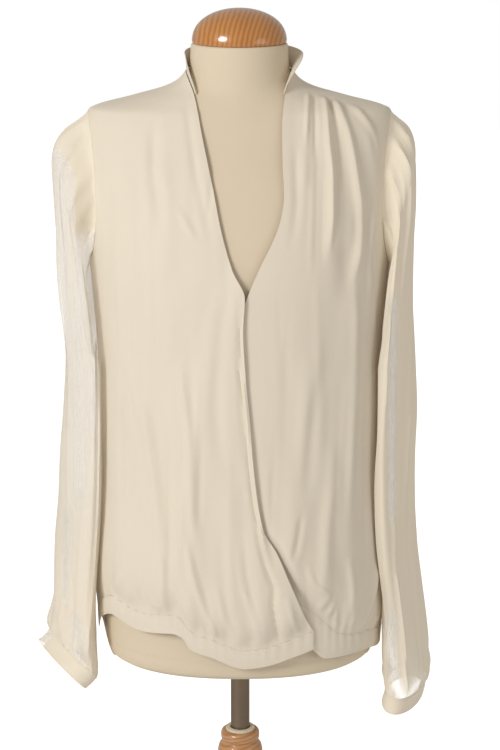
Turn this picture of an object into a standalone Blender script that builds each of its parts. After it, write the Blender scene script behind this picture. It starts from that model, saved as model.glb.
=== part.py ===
"""Long-sleeve wrap blouse on a limbless dress form with a steel pole and a wooden tripod stand.

Metres, +Z up, the front faces -Y. The wearer's left is at +X. Every object stands at the pole's axis,
so that the pole slides and the bust turns about its own origin.
"""

import math

import bmesh
import bpy
import numpy as np

# Places along the pole
COLUMN_TOP_Z = 0.600
BUST_BOTTOM_Z = 0.705
NECK_TOP_Z = 1.400
CAP_HEIGHT = 0.037
UNDERARM_Z = 1.165
SHOULDER_TIP_Z = 1.327
BACK_NECK_Z = 1.3705

# Cloth and seams
WALL = 0.0012
CUFF_WALL = 0.0018
# The gap at the outer face, which leaves about 0.3 mm between the inner edges
SEAM_GAP = 0.0005
REST_GAP = 0.0003
ARMHOLE_GAP = 0.0007
WRAP_LIFT = 0.0036
BAND_HEIGHT = 0.022
BLOUSE_OVERHANG = 0.008
OVERHANG_HEIGHT = 0.040
ARMHOLE_INSET = 0.017

# Stand
POLE_RADIUS = 0.011
POLE_BOTTOM_Z = 0.300
SOCKET_TOP_Z = 0.900
RUNNING_GAP = 0.0006
FOOT_REACH = 0.290
FOOT_RADIUS = 0.017
LEG_ANGLES = (90.0, 210.0, 330.0)
# The pole's place, so that the box of the three feet is centred on the floor's origin
POLE_Y = -0.25 * (FOOT_REACH - FOOT_RADIUS)

# Columns and rows of the cloth grids
OVER_COLUMNS, UNDER_COLUMNS, BACK_COLUMNS = 28, 22, 30
NECK_COLUMNS = 14
SIDE_ROWS = 10
SLEEVE_SIDES = 22

# Sections of the blouse: height, half width, depth in front, depth behind, squareness
CLOTH_LEVELS = (
    (0.640, 0.1580, 0.118, 0.112, 2.30),
    (0.700, 0.1610, 0.122, 0.116, 2.30),
    (0.760, 0.1640, 0.128, 0.120, 2.30),
    (0.850, 0.1620, 0.132, 0.121, 2.30),
    (0.950, 0.1585, 0.131, 0.118, 2.30),
    (1.050, 0.1585, 0.131, 0.117, 2.30),
    (1.140, 0.1640, 0.1325, 0.119, 2.30),
    (1.200, 0.1690, 0.1255, 0.119, 2.25),
    (1.260, 0.1720, 0.1070, 0.112, 2.15),
    (1.310, 0.1700, 0.0820, 0.097, 1.95),
    (1.329, 0.1640, 0.0715, 0.088, 1.85),
    (1.342, 0.1200, 0.0640, 0.080, 1.80),
    (1.351, 0.0870, 0.0600, 0.073, 1.80),
    (1.357, 0.0730, 0.0580, 0.069, 1.85),
    (1.364, 0.0635, 0.0575, 0.0655, 1.95),
    (1.3705, 0.0585, 0.0570, 0.0625, 2.00),
)

# Sections of the bust: the same columns
BUST_LEVELS = (
    (0.705, 0.1440, 0.105, 0.097, 2.25),
    (0.711, 0.1515, 0.112, 0.104, 2.25),
    (0.722, 0.1540, 0.115, 0.106, 2.25),
    (0.790, 0.1570, 0.119, 0.112, 2.25),
    (0.870, 0.1500, 0.113, 0.102, 2.20),
    (0.950, 0.1340, 0.103, 0.090, 2.15),
    (1.020, 0.1240, 0.101, 0.086, 2.15),
    (1.085, 0.1320, 0.115, 0.095, 2.20),
    (1.140, 0.1480, 0.1270, 0.106, 2.30),
    (1.200, 0.1590, 0.1205, 0.111, 2.25),
    (1.255, 0.1640, 0.1040, 0.107, 2.15),
    (1.300, 0.1635, 0.0815, 0.095, 1.95),
    (1.3230, 0.1565, 0.0710, 0.086, 1.85),
    (1.3361, 0.1305, 0.0640, 0.079, 1.80),
    (1.3462, 0.0925, 0.0590, 0.071, 1.80),
    (1.3532, 0.0718, 0.0560, 0.066, 1.85),
    (1.3608, 0.0593, 0.0545, 0.0600, 1.95),
    (1.372, 0.0545, 0.0535, 0.0550, 2.00),
    (1.400, 0.0525, 0.0525, 0.0525, 2.00),
)

# Free edge of the lapping front from hem to neck: height, place across
LAP_EDGE = (
    (0.750, 0.0910),
    (0.787, 0.0700),
    (0.822, 0.0560),
    (0.863, 0.0400),
    (0.890, 0.0255),
    (0.960, 0.0150),
    (1.016, 0.0110),
    (1.057, 0.0070),
    (1.110, 0.0040),
    (1.146, 0.0060),
    (1.175, -0.0070),
    (1.217, -0.0190),
    (1.256, -0.0270),
    (1.309, -0.0390),
    (1.349, -0.0480),
    (1.363, -0.0545),
    (1.3705, -0.0585),
)

# Free edge of the front that lies under it: height, place across
UNDER_EDGE = (
    (0.790, -0.0700),
    (0.840, -0.0580),
    (0.900, -0.0460),
    (0.980, -0.0320),
    (1.050, -0.0180),
    (1.110, -0.0040),
    (1.154, 0.0115),
    (1.181, 0.0236),
    (1.205, 0.0357),
    (1.228, 0.0440),
    (1.251, 0.0475),
    (1.281, 0.0460),
    (1.318, 0.0456),
    (1.349, 0.0490),
    (1.363, 0.0545),
    (1.3705, 0.0585),
)

# Lower edge of each front's band: place across, height
LAP_HEM = (
    (-0.1630, 0.735),
    (-0.1570, 0.757),
    (-0.1420, 0.770),
    (-0.1240, 0.765),
    (-0.1080, 0.762),
    (-0.0730, 0.766),
    (-0.0620, 0.762),
    (-0.0545, 0.750),
    (-0.0300, 0.740),
    (0.0060, 0.727),
    (0.0250, 0.729),
    (0.0580, 0.739),
    (0.0910, 0.750),
)
UNDER_HEM = (
    (-0.0700, 0.792),
    (0.0200, 0.786),
    (0.0500, 0.773),
    (0.0650, 0.760),
    (0.0800, 0.745),
    (0.0957, 0.731),
    (0.1290, 0.729),
    (0.1460, 0.727),
    (0.1630, 0.718),
)
# Seam between the under front and its band, which climbs towards the middle
UNDER_SEAM = (
    (-0.0700, 0.822),
    (0.0200, 0.819),
    (0.0500, 0.811),
    (0.0685, 0.799),
    (0.0807, 0.789),
    (0.0927, 0.777),
    (0.1089, 0.760),
    (0.1226, 0.754),
    (0.1460, 0.750),
    (0.1630, 0.740),
)
BACK_HEM = (
    (-0.1630, 0.735),
    (-0.1580, 0.700),
    (-0.1500, 0.672),
    (-0.1200, 0.658),
    (0.0000, 0.650),
    (0.1200, 0.660),
    (0.1500, 0.674),
    (0.1580, 0.696),
    (0.1630, 0.718),
)

# Folds of the fronts: across and height at the top, the same at the bottom, bow, half width, height
FRONT_FOLDS = (
    (-0.061, 1.090, -0.040, 0.790, -0.006, 0.020, 0.0040),
    (-0.118, 1.100, -0.080, 0.790, -0.008, 0.022, 0.0045),
    (-0.140, 1.000, -0.125, 0.790, 0.004, 0.018, 0.0035),
    (-0.086, 1.300, -0.080, 1.150, 0.002, 0.016, 0.0030),
    (-0.120, 1.290, -0.128, 1.120, 0.004, 0.018, 0.0028),
    (0.010, 0.900, 0.020, 0.760, 0.003, 0.013, 0.0030),
    (0.034, 0.860, 0.048, 0.765, 0.003, 0.012, 0.0030),
    (-0.010, 0.960, -0.012, 0.770, 0.002, 0.014, 0.0030),
    (0.077, 1.110, 0.056, 0.830, 0.003, 0.016, 0.0035),
    (0.128, 1.250, 0.121, 0.790, -0.006, 0.016, 0.0050),
    (0.098, 1.000, 0.094, 0.800, 0.003, 0.014, 0.0030),
    (0.148, 1.100, 0.147, 0.780, 0.000, 0.014, 0.0030),
    (0.085, 1.352, 0.096, 1.170, 0.006, 0.012, 0.0050),
    (0.105, 1.346, 0.130, 1.220, 0.006, 0.012, 0.0040),
    (0.125, 1.340, 0.152, 1.230, 0.006, 0.012, 0.0035),
    (0.070, 1.352, 0.068, 1.250, 0.002, 0.009, 0.0030),
    (0.158, 1.300, 0.140, 1.180, 0.004, 0.014, 0.0040),
)

# Folds of the back: the same columns
BACK_FOLDS = (
    (-0.110, 1.250, -0.095, 0.700, 0.006, 0.020, 0.0045),
    (-0.065, 1.130, -0.050, 0.700, -0.004, 0.018, 0.0040),
    (-0.015, 1.050, -0.010, 0.690, 0.004, 0.018, 0.0035),
    (0.035, 1.150, 0.030, 0.690, -0.003, 0.018, 0.0045),
    (0.080, 1.050, 0.070, 0.700, 0.004, 0.016, 0.0035),
    (0.120, 1.230, 0.105, 0.700, -0.005, 0.020, 0.0045),
    (-0.140, 1.060, -0.130, 0.720, 0.000, 0.014, 0.0030),
    (0.143, 1.060, 0.135, 0.720, 0.000, 0.014, 0.0030),
)

# Rings of the sleeve head: outer across and height, inner clearance and height, half depth, hug
HEAD_RINGS_LEFT = (
    (0.1730, 1.3275, 0.0040, 1.1660, 0.0600, 0.006),
    (0.1810, 1.3180, 0.0060, 1.1560, 0.0640, 0.008),
    (0.1890, 1.3010, 0.0060, 1.1430, 0.0675, 0.010),
    (0.1935, 1.2750, 0.0060, 1.1280, 0.0700, 0.012),
    (0.1940, 1.2400, 0.0055, 1.1100, 0.0715, 0.014),
    (0.1925, 1.1950, 0.0055, 1.0880, 0.0725, 0.016),
    (0.1930, 1.1450, 0.0050, 1.0580, 0.0730, 0.018),
)
HEAD_RINGS_RIGHT = (
    (0.1740, 1.3280, 0.0040, 1.1660, 0.0600, 0.006),
    (0.1850, 1.3170, 0.0060, 1.1560, 0.0640, 0.008),
    (0.1955, 1.2960, 0.0060, 1.1430, 0.0675, 0.010),
    (0.2050, 1.2680, 0.0060, 1.1280, 0.0700, 0.012),
    (0.2045, 1.2320, 0.0055, 1.1100, 0.0715, 0.014),
    (0.2030, 1.1900, 0.0055, 1.0880, 0.0725, 0.016),
    (0.2025, 1.1450, 0.0050, 1.0580, 0.0730, 0.018),
)

# Rings down the sleeve: height, outer, inner clearance from the body, half depth, front's shift,
# hug, drop of the inner end
LENGTH_RINGS_LEFT = (
    (1.0500, 0.1985, 0.0045, 0.0730, -0.006, 0.018, 0.000),
    (0.9950, 0.1990, 0.0045, 0.0730, -0.006, 0.018, 0.000),
    (0.9400, 0.1975, 0.0045, 0.0725, -0.006, 0.018, 0.000),
    (0.8850, 0.1980, 0.0045, 0.0720, -0.007, 0.017, 0.000),
    (0.8300, 0.2010, 0.0045, 0.0710, -0.008, 0.015, 0.000),
    (0.7800, 0.2070, 0.0050, 0.0700, -0.009, 0.012, 0.000),
    (0.7350, 0.2130, 0.0060, 0.0690, -0.011, 0.008, -0.002),
    (0.7000, 0.2170, 0.0070, 0.0670, -0.013, 0.004, -0.004),
    (0.6750, 0.2190, 0.0080, 0.0640, -0.015, 0.001, -0.006),
    (0.6570, 0.2150, 0.0120, 0.0580, -0.016, 0.000, -0.008),
)
LENGTH_RINGS_RIGHT = (
    (1.0500, 0.1975, 0.0045, 0.0730, -0.006, 0.018, 0.000),
    (0.9950, 0.1995, 0.0045, 0.0730, -0.006, 0.018, 0.000),
    (0.9400, 0.2030, 0.0045, 0.0725, -0.006, 0.018, 0.000),
    (0.8850, 0.2050, 0.0045, 0.0720, -0.007, 0.017, 0.000),
    (0.8350, 0.2090, 0.0045, 0.0710, -0.009, 0.014, 0.000),
    (0.7950, 0.2110, 0.0055, 0.0700, -0.012, 0.010, 0.002),
    (0.7650, 0.2130, 0.0070, 0.0680, -0.015, 0.006, 0.010),
    (0.7430, 0.2150, 0.0090, 0.0660, -0.018, 0.003, 0.020),
    (0.7260, 0.2170, 0.0105, 0.0630, -0.021, 0.001, 0.031),
    (0.7150, 0.2150, 0.0120, 0.0570, -0.022, 0.000, 0.040),
)
CUFF_HEIGHT = 0.020
SLEEVE_CLEARANCE = 0.0045
SLEEVE_Y = 0.002
SLEEVE_WAVES, CUFF_GATHERS = 5, 11

# Stand collar, along its seam from the wearer's right front round the neck to the left one:
# share of the seam, height, lean outwards per metre of height
COLLAR_STATIONS = (
    (0.00, 0.003, 0.10),
    (0.10, 0.010, 0.10),
    (0.20, 0.018, 0.15),
    (0.35, 0.021, 0.20),
    (0.50, 0.023, 0.22),
    (0.65, 0.022, 0.30),
    (0.80, 0.018, 0.60),
    (0.90, 0.012, 0.80),
    (1.00, 0.003, 0.50),
)
COLLAR_STEPS = 26
COLLAR_FRONT_Z = 1.350
COLLAR_INSET = 0.0004
COLLAR_GAP = 0.0009


def table_curve(table, key, value):
    """A smooth curve that passes through two columns of a table and adds no overshoot."""
    rows = sorted(table)
    xs = np.array([row[key] for row in rows])
    ys = np.array([row[value] for row in rows])
    steps = np.diff(xs)
    slopes = np.diff(ys) / steps
    tangents = np.concatenate([slopes[:1], np.zeros(len(slopes) - 1), slopes[-1:]])
    for i in range(1, len(slopes)):
        if slopes[i - 1] * slopes[i] > 0:
            near, far = 2 * steps[i] + steps[i - 1], steps[i] + 2 * steps[i - 1]
            tangents[i] = (near + far) / (near / slopes[i - 1] + far / slopes[i])

    def read(x):
        x = min(max(x, xs[0]), xs[-1])
        i = min(int(np.searchsorted(xs, x, side="right")) - 1, len(steps) - 1)
        t = (x - xs[i]) / steps[i]
        return float(
            (1 + 2 * t) * (1 - t) ** 2 * ys[i]
            + t * (1 - t) ** 2 * steps[i] * tangents[i]
            + t * t * (3 - 2 * t) * ys[i + 1]
            - t * t * (1 - t) * steps[i] * tangents[i + 1]
        )

    return read


def smooth_step(t):
    t = min(max(t, 0.0), 1.0)
    return t * t * (3 - 2 * t)


class Sections:
    """A rounded body given by plan sections, each a squared ellipse."""

    def __init__(self, levels):
        self.half_width = table_curve(levels, 0, 1)
        self.front = table_curve(levels, 0, 2)
        self.back = table_curve(levels, 0, 3)
        self.squareness = table_curve(levels, 0, 4)

    def depth(self, z, side):
        return self.front(z) if side < 0 else self.back(z)

    def point(self, x, z, side):
        """The point above (x, z) in the front view, in front for side -1 and behind for +1."""
        reach = min(abs(x) / self.half_width(z), 1.0)
        n = self.squareness(z)
        return np.array([x, side * self.depth(z, side) * (1 - reach**n) ** (1 / n), z])

    def at_angle(self, angle, z):
        """The point at an angle from the front, positive towards +X."""
        n = self.squareness(z)
        sine, cosine = math.sin(angle), math.cos(angle)
        side = -1 if cosine >= 0 else 1
        x = self.half_width(z) * math.copysign(abs(sine) ** (2 / n), sine)
        return np.array([x, side * self.depth(z, side) * abs(cosine) ** (2 / n), z])

    def normal(self, point, side):
        x, y, z = point
        n = self.squareness(z)
        width, depth = self.half_width(z), self.depth(z, side)
        step = 0.0005
        low, high = max(z - step, 0.0), z + step
        width_slope = (self.half_width(high) - self.half_width(low)) / (high - low)
        depth_slope = (self.depth(high, side) - self.depth(low, side)) / (high - low)
        across, through = min(abs(x) / width, 1.0), min(abs(y) / depth, 1.0)
        normal = np.array(
            [
                math.copysign(across ** (n - 1) / width, x),
                side * through ** (n - 1) / depth,
                -(across**n) * width_slope / width - through**n * depth_slope / depth,
            ]
        )
        return normal / np.linalg.norm(normal)


CLOTH = Sections(CLOTH_LEVELS)
BUST = Sections(BUST_LEVELS)
lap_edge_x = table_curve(LAP_EDGE, 0, 1)
under_edge_x = table_curve(UNDER_EDGE, 0, 1)
lap_hem_z = table_curve(LAP_HEM, 0, 1)
under_hem_z = table_curve(UNDER_HEM, 0, 1)
under_seam_z = table_curve(UNDER_SEAM, 0, 1)
back_hem_z = table_curve(BACK_HEM, 0, 1)


def lap_seam_z(x):
    return lap_hem_z(x) + BAND_HEIGHT


def back_seam_z(x):
    return back_hem_z(x) + BAND_HEIGHT


def shoulder_z(x):
    """Height of the shoulder line at a place across, found where the section's side reaches it."""
    low, high = SHOULDER_TIP_Z - 0.02, BACK_NECK_Z
    if abs(x) <= CLOTH.half_width(high):
        return high
    for _ in range(40):
        middle = (low + high) / 2
        if CLOTH.half_width(middle) > abs(x):
            low = middle
        else:
            high = middle
    return (low + high) / 2


def armhole_x(z):
    """Edge of a panel at the side: the side seam, then the armhole above the underarm."""
    share = (z - UNDERARM_Z) / (SHOULDER_TIP_Z - UNDERARM_Z)
    if share <= 0 or share >= 1:
        return CLOTH.half_width(z)
    return CLOTH.half_width(z) - ARMHOLE_INSET * math.sin(math.pi * share) ** 0.6


def fold_height(x, z, folds):
    """How far the cloth stands out at (x, z): each fold is a ridge between two shallow troughs."""
    height = 0.0
    for top_x, top_z, bottom_x, bottom_z, bow, half_width, fold in folds:
        along = (top_z - z) / (top_z - bottom_z)
        if not 0 < along < 1:
            continue
        centre = top_x + (bottom_x - top_x) * along + 4 * bow * along * (1 - along)
        offset = ((x - centre) / half_width) ** 2
        ends = smooth_step(along / 0.25) * smooth_step((1 - along) / 0.2)
        height += fold * ends * (1 - 0.9 * offset) * math.exp(-offset)
    return height


def overhang(reach, above_seam):
    """The cloth blouses out over the gathered band, less so beside the sleeves."""
    if above_seam <= 0:
        return 0.0
    share = above_seam / OVERHANG_HEIGHT
    return BLOUSE_OVERHANG * (1 - 0.75 * reach**4) * share**2 * math.exp(2 - 2 * share)


def gathers(x, above_seam, pitch):
    """Small waves that fade upwards from the seam of the band."""
    if above_seam <= 0:
        return 0.0
    rise = smooth_step(above_seam / 0.015) * math.exp(-above_seam / 0.050)
    return 0.0022 * rise * math.cos(2 * math.pi * x / pitch + 1.5 * math.sin(31 * x))


def side_fade(reach, z):
    """Folds die out at the side seams, the armholes and the shoulder seams."""
    return smooth_step((armhole_x(z) / CLOTH.half_width(z) - reach) / 0.10)


def wall_mesh(name, outer, inner, closed=False):
    """A closed wall between two grids of points, whose rows are loops when closed is set.

    The inner grid lies along the plain body's own normals, so that the rims of two pieces that
    meet at a seam stay parallel. Solidify would tilt them into each other.
    """
    rows, columns = len(outer), len(outer[0])
    mesh = bmesh.new()
    sheets = [[[mesh.verts.new(tuple(p)) for p in row] for row in grid] for grid in (outer, inner)]
    spans = columns if closed else columns - 1
    for sheet in sheets:
        for low, high in zip(sheet, sheet[1:]):
            for i in range(spans):
                after = (i + 1) % columns
                mesh.faces.new((low[i], low[after], high[after], high[i]))
    for j in (0, rows - 1):
        for i in range(spans):
            after = (i + 1) % columns
            near, far = sheets[0][j], sheets[1][j]
            mesh.faces.new((near[i], near[after], far[after], far[i]))
    if not closed:
        for i in (0, columns - 1):
            for j in range(rows - 1):
                near, far = (sheets[0][j], sheets[0][j + 1]), (sheets[1][j], sheets[1][j + 1])
                mesh.faces.new((near[0][i], near[1][i], far[1][i], far[0][i]))
    bmesh.ops.recalc_face_normals(mesh, faces=mesh.faces[:])
    data = bpy.data.meshes.new(name)
    mesh.to_mesh(data)
    mesh.free()
    return data


def grid_normals(grid, closed):
    """Unit normals of a grid that faces away from the middle of each of its rows."""
    points = np.array(grid)
    down = np.gradient(points, axis=0)
    if closed:
        across = np.roll(points, -1, axis=1) - np.roll(points, 1, axis=1)
        middle = points.mean(axis=1, keepdims=True)
    else:
        across = np.gradient(points, axis=1)
        middle = points * np.array([0, 0, 1.0])
    normals = np.cross(across, down)
    normals /= np.linalg.norm(normals, axis=2, keepdims=True)
    facing = (normals * (points - middle)).sum(axis=2, keepdims=True)
    return normals * np.where(facing.mean(axis=1, keepdims=True) < 0, -1.0, 1.0)


def add_object(name, mesh, material, collection, parent):
    obj = bpy.data.objects.new(name, mesh)
    collection.objects.link(obj)
    obj.parent = parent
    mesh.materials.append(material)
    mesh.shade_smooth()
    return obj


def row_heights(side_bottom):
    """Heights where a panel's rows end at its side: down the side seam, then round the armhole.

    In the armhole they are those of the sleeve's points. The first row lies just above the band.
    """
    first = 0.004
    rise = UNDERARM_Z - side_bottom - first
    below = [side_bottom + first + rise * (k / SIDE_ROWS) ** 1.5 for k in range(SIDE_ROWS + 1)]
    turns = [math.pi * (1 - 2 * k / SLEEVE_SIDES) for k in range(1, SLEEVE_SIDES // 2 + 1)]
    return [side_bottom] + below + [armhole_height(turn) for turn in turns]


def armhole_height(turn):
    """Height of a point of the armhole: turn 0 is the shoulder tip, half a turn the underarm."""
    return UNDERARM_Z + (SHOULDER_TIP_Z - UNDERARM_Z) * (1 + math.cos(turn)) / 2


def signed_power(value, power):
    return math.copysign(abs(value) ** power, value)


def even_spread(u):
    return u


def back_spread(u):
    """Share of the way across the back's upper rows: even in angle round the neck, and even
    along each shoulder."""
    shoulder = (1 - NECK_COLUMNS / BACK_COLUMNS) / 2
    neck = CLOTH.half_width(BACK_NECK_Z) / CLOTH.half_width(SHOULDER_TIP_Z)
    if u < shoulder:
        return (1 - neck) / 2 * u / shoulder
    if u > 1 - shoulder:
        return 1 - (1 - neck) / 2 * (1 - u) / shoulder
    return 0.5 + neck / 2 * math.sin(math.pi * (u - 0.5) / (1 - 2 * shoulder))


def row_places(start, end, columns, spread):
    """Places along a row between two ends, each as a share of the half width, a place across on
    the straight line, and its height. Rows are even in angle round the body below the armhole."""
    upper = smooth_step((max(start[1], end[1]) - UNDERARM_Z) / (SHOULDER_TIP_Z - UNDERARM_Z))
    n = CLOTH.squareness((start[1] + end[1]) / 2)
    reaches = [min(max(x / CLOTH.half_width(z), -1.0), 1.0) for x, z in (start, end)]
    first, last = (math.asin(signed_power(reach, n / 2)) for reach in reaches)
    places = []
    for i in range(columns + 1):
        across = spread(i / columns)
        reach = signed_power(math.sin(first + (last - first) * i / columns), 2 / n)
        turned = across
        if abs(last - first) > 0.2:
            turned = (reach - reaches[0]) / (reaches[1] - reaches[0])
        share = (1 - upper) * turned + upper * across
        line_x = start[0] + (end[0] - start[0]) * across
        places.append((reach, line_x, start[1] + (end[1] - start[1]) * share))
    return upper, places


def seam_places(start, end, columns, spread, seam_z):
    """Where each column meets the band's seam: share of the half width, and height."""
    found = []
    for reach, _, z in row_places(start, end, columns, spread)[1]:
        for _ in range(6):
            z = seam_z(reach * CLOTH.half_width(z))
        found.append((reach, z))
    return found


def panel_grid(start_edge, end_edge, seam_z, columns, side, relief, spread=even_spread):
    """A panel's outer and inner points, hem seam first, and its places along that seam.

    The edges give (x, z) for each row, and relief gives how far the cloth stands off the plain
    body. Rows bend to the seam of the band below them and to the shoulder seam above them.
    """
    edges = list(zip(start_edge, end_edge))
    seam = seam_places(*edges[0], columns, spread, seam_z)
    to_seam = [
        level - z for (_, level), (_, _, z) in zip(seam, row_places(*edges[0], columns, spread)[1])
    ]
    to_shoulder = [
        shoulder_z(x) - z for _, x, z in row_places(*edges[-1], columns, spread)[1]
    ]
    outer, inner = [], []
    bottom = start_edge[0][1]
    for start, end in edges:
        climb = (start[1] - bottom) / (start_edge[-1][1] - bottom)
        near_hem, near_shoulder = 1 - smooth_step(climb / 0.6), smooth_step((climb - 0.7) / 0.3)
        upper, places = row_places(start, end, columns, spread)
        outer.append([])
        inner.append([])
        for (reach, line_x, z), down, up in zip(places, to_seam, to_shoulder):
            z += near_hem * down + near_shoulder * up
            half_width = CLOTH.half_width(z)
            x = (1 - upper) * reach * half_width + upper * line_x
            x = min(max(x, -half_width), half_width)
            point = CLOTH.point(x, z, side)
            normal = CLOTH.normal(point, side)
            height = relief(abs(x) / half_width, x, z, z - seam_z(x))
            point = point + normal * height + np.array([0, side * SEAM_GAP / 2, 0])
            outer[-1].append(point)
            inner[-1].append(point - normal * WALL)
    return outer, inner, seam


def front_edges(edge_x, seam_z, side_sign):
    """Ends of a front's rows: on its free edge, and on its side seam and armhole."""
    side_bottom = seam_z(side_sign * CLOTH.half_width(0.75))
    edge_bottom = 0.80
    for _ in range(30):
        edge_bottom = seam_z(edge_x(edge_bottom))
    heights = row_heights(side_bottom)
    free_edge, side_edge = [], []
    for height in heights:
        share = (height - side_bottom) / (SHOULDER_TIP_Z - side_bottom)
        level = edge_bottom + (BACK_NECK_Z - edge_bottom) * share
        free_edge.append((edge_x(level), level))
        side_edge.append((side_sign * armhole_x(height), height))
    return free_edge, side_edge


def lap_front_relief(reach, x, z, above):
    height = side_fade(reach, z) * fold_height(x, z, FRONT_FOLDS) * smooth_step(above / 0.03)
    height += side_fade(reach, z) * gathers(x, above, 0.030)
    return height + overhang(reach, above) + lap_lift(x, z)


def under_front_relief(reach, x, z, above):
    """Where the lapping front covers it, this front has its folds but no gathers or overhang."""
    bare = smooth_step((x - lap_edge_x(z)) / 0.012)
    height = side_fade(reach, z) * fold_height(x, z, FRONT_FOLDS) * smooth_step(above / 0.03)
    return height + bare * (side_fade(reach, z) * gathers(x, above, 0.030) + overhang(reach, above))


def back_relief(reach, x, z, above):
    height = side_fade(reach, z) * fold_height(x, z, BACK_FOLDS) * smooth_step(above / 0.03)
    return height + side_fade(reach, z) * gathers(x, above, 0.034) + overhang(reach, above)


def lap_lift(x, z):
    """The lapping front stands off where the other front lies beneath it."""
    return WRAP_LIFT * smooth_step((x - under_edge_x(z) + 0.040) / 0.030)


def back_edges():
    """Ends of the back's rows, from the wearer's left side seam to the right one."""
    edges = []
    for side_sign in (1, -1):
        side_bottom = back_seam_z(side_sign * CLOTH.half_width(0.75))
        edges.append([(side_sign * armhole_x(z), z) for z in row_heights(side_bottom)])
    return edges


def band_grid(seam, hem_z, side, lift):
    """A hem band: its upper edge follows the panel's gathering seam, its lower edge the hem."""
    outer, inner = [], []
    for share in (1.0, 0.5, 0.0):
        outer.append([])
        inner.append([])
        for reach, seam_level in seam:
            top = seam_level - SEAM_GAP
            low = hem_z(reach * CLOTH.half_width(seam_level))
            z = top + (low - top) * share
            x = reach * CLOTH.half_width(z)
            point = CLOTH.point(x, z, side)
            normal = CLOTH.normal(point, side)
            point = point + normal * lift(x, seam_level) + np.array([0, side * SEAM_GAP / 2, 0])
            outer[-1].append(point)
            inner[-1].append(point - normal * WALL)
    return outer, inner


def no_lift(x, z):
    return 0.0


def armhole_loop(side_sign):
    """Edge of the armhole from the shoulder tip down the front and up the back."""
    loop = []
    for i in range(SLEEVE_SIDES):
        turn = 2 * math.pi * i / SLEEVE_SIDES
        z = armhole_height(turn)
        side = -1 if turn < math.pi else 1
        point = CLOTH.point(armhole_x(z), z, side)
        towards_middle = np.array([0, -point[1], (UNDERARM_Z + SHOULDER_TIP_Z) / 2 - z])
        towards_middle /= np.linalg.norm(towards_middle)
        point = point + ARMHOLE_GAP * (np.array([0.8, 0, 0]) + 0.6 * towards_middle)
        loop.append(point * np.array([side_sign, 1, 1]))
    return loop


def sleeve_ring(side_sign, outer, inner, half_depth, front_shift, hug, waves):
    """A flattened ring between an outer and an inner point, hugging the body at front and back."""
    outer, inner = np.array(outer), np.array(inner)
    centre, arm = (outer + inner) / 2, (outer - inner) / 2
    ring = []
    for i in range(SLEEVE_SIDES):
        turn = 2 * math.pi * i / SLEEVE_SIDES
        cosine, sine = math.cos(turn), math.sin(turn)
        swell = 1 + waves(turn)
        x = centre[0] + arm[0] * cosine * swell + front_shift * sine - hug * sine * sine
        z = centre[1] + arm[1] * cosine
        y = SLEEVE_Y - half_depth * sine * (1 + 0.25 * waves(turn))
        clearance = SLEEVE_CLEARANCE * (1 + 0.8 * max(cosine, -0.5))
        x = max(x, body_side_x(y, z) + clearance)
        ring.append(np.array([side_sign * x, y, z]))
    return ring


def body_side_x(y, z):
    """How far the blouse's body reaches sideways at a depth, with its overhang near the band."""
    side = -1 if y < 0 else 1
    n = CLOTH.squareness(z)
    through = min(abs(y) / CLOTH.depth(z, side), 1.0)
    bulge = 0.006 * math.exp(-(((z - 0.80) / 0.05) ** 2))
    return CLOTH.half_width(z) * (1 - through**n) ** (1 / n) + bulge


def sleeve_waves(index, side_sign):
    phase = 0.55 * index * side_sign

    def waves(turn):
        return 0.12 * math.cos(SLEEVE_WAVES * turn + phase) + 0.05 * math.cos(3 * turn - phase)

    return waves


def plain(turn):
    return 0.0


def cuff_gather(turn):
    return 0.10 * math.cos(CUFF_GATHERS * turn)


def sleeve_grid(side_sign, head_rings, length_rings):
    """A sleeve from its armhole to its gathered end. Its rings turn from upright to level."""
    grid = [armhole_loop(side_sign)]
    for k, (outer_x, outer_z, clearance, inner_z, half_depth, hug) in enumerate(head_rings):
        inner_x = CLOTH.half_width(inner_z) + clearance
        waves = plain if k < 2 else sleeve_waves(k, side_sign)
        ring = sleeve_ring(
            side_sign, (outer_x, outer_z), (inner_x, inner_z), half_depth, 0.0, hug, waves
        )
        grid.append(ring)
    for k, (*place, half_depth, shift, hug, drop) in enumerate(length_rings):
        outer, inner, downwards = ring_ends(*place, drop)
        last = k == len(length_rings) - 1
        waves = plain if last else sleeve_waves(k + len(head_rings), side_sign)
        if k == len(length_rings) - 2:
            waves = cuff_gather
        if last:
            above = (end - 0.004 * downwards for end in (outer, inner))
            grid.append(sleeve_ring(side_sign, *above, half_depth, shift, hug, waves))
        grid.append(sleeve_ring(side_sign, outer, inner, half_depth, shift, hug, waves))
    return grid


def ring_ends(z, outer_x, clearance, drop):
    """A lower ring's outer and inner ends, as places across and heights, and the way down the
    sleeve there, square to the line between them."""
    outer = np.array([outer_x, z])
    inner = np.array([CLOTH.half_width(max(z - drop, 0.70)) + clearance, z - drop])
    across, rise = (outer - inner) / np.linalg.norm(outer - inner)
    return outer, inner, np.array([rise, -across])


def cuff_grid(side_sign, length_rings):
    *place, half_depth, shift, hug, drop = length_rings[-1]
    outer, inner, downwards = ring_ends(*place, drop)
    return [
        sleeve_ring(
            side_sign, outer + down * downwards, inner + down * downwards, half_depth, shift, hug, plain
        )
        for down in (SEAM_GAP, CUFF_HEIGHT / 2, CUFF_HEIGHT)
    ]


def neckline():
    """Points of the neck seam from the right front's edge, round behind the neck, to the left's."""
    steps = 8
    levels = [COLLAR_FRONT_Z + (BACK_NECK_Z - COLLAR_FRONT_Z) * i / steps for i in range(steps)]
    right = [CLOTH.point(lap_edge_x(z), z, -1) for z in levels]
    left = [CLOTH.point(under_edge_x(z), z, -1) for z in levels]
    turns = [math.pi * (1 + 2 * i / 16) / 2 for i in range(17)]
    behind = [CLOTH.at_angle(-turn, BACK_NECK_Z) for turn in turns]
    return right + behind + left[::-1]


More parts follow.
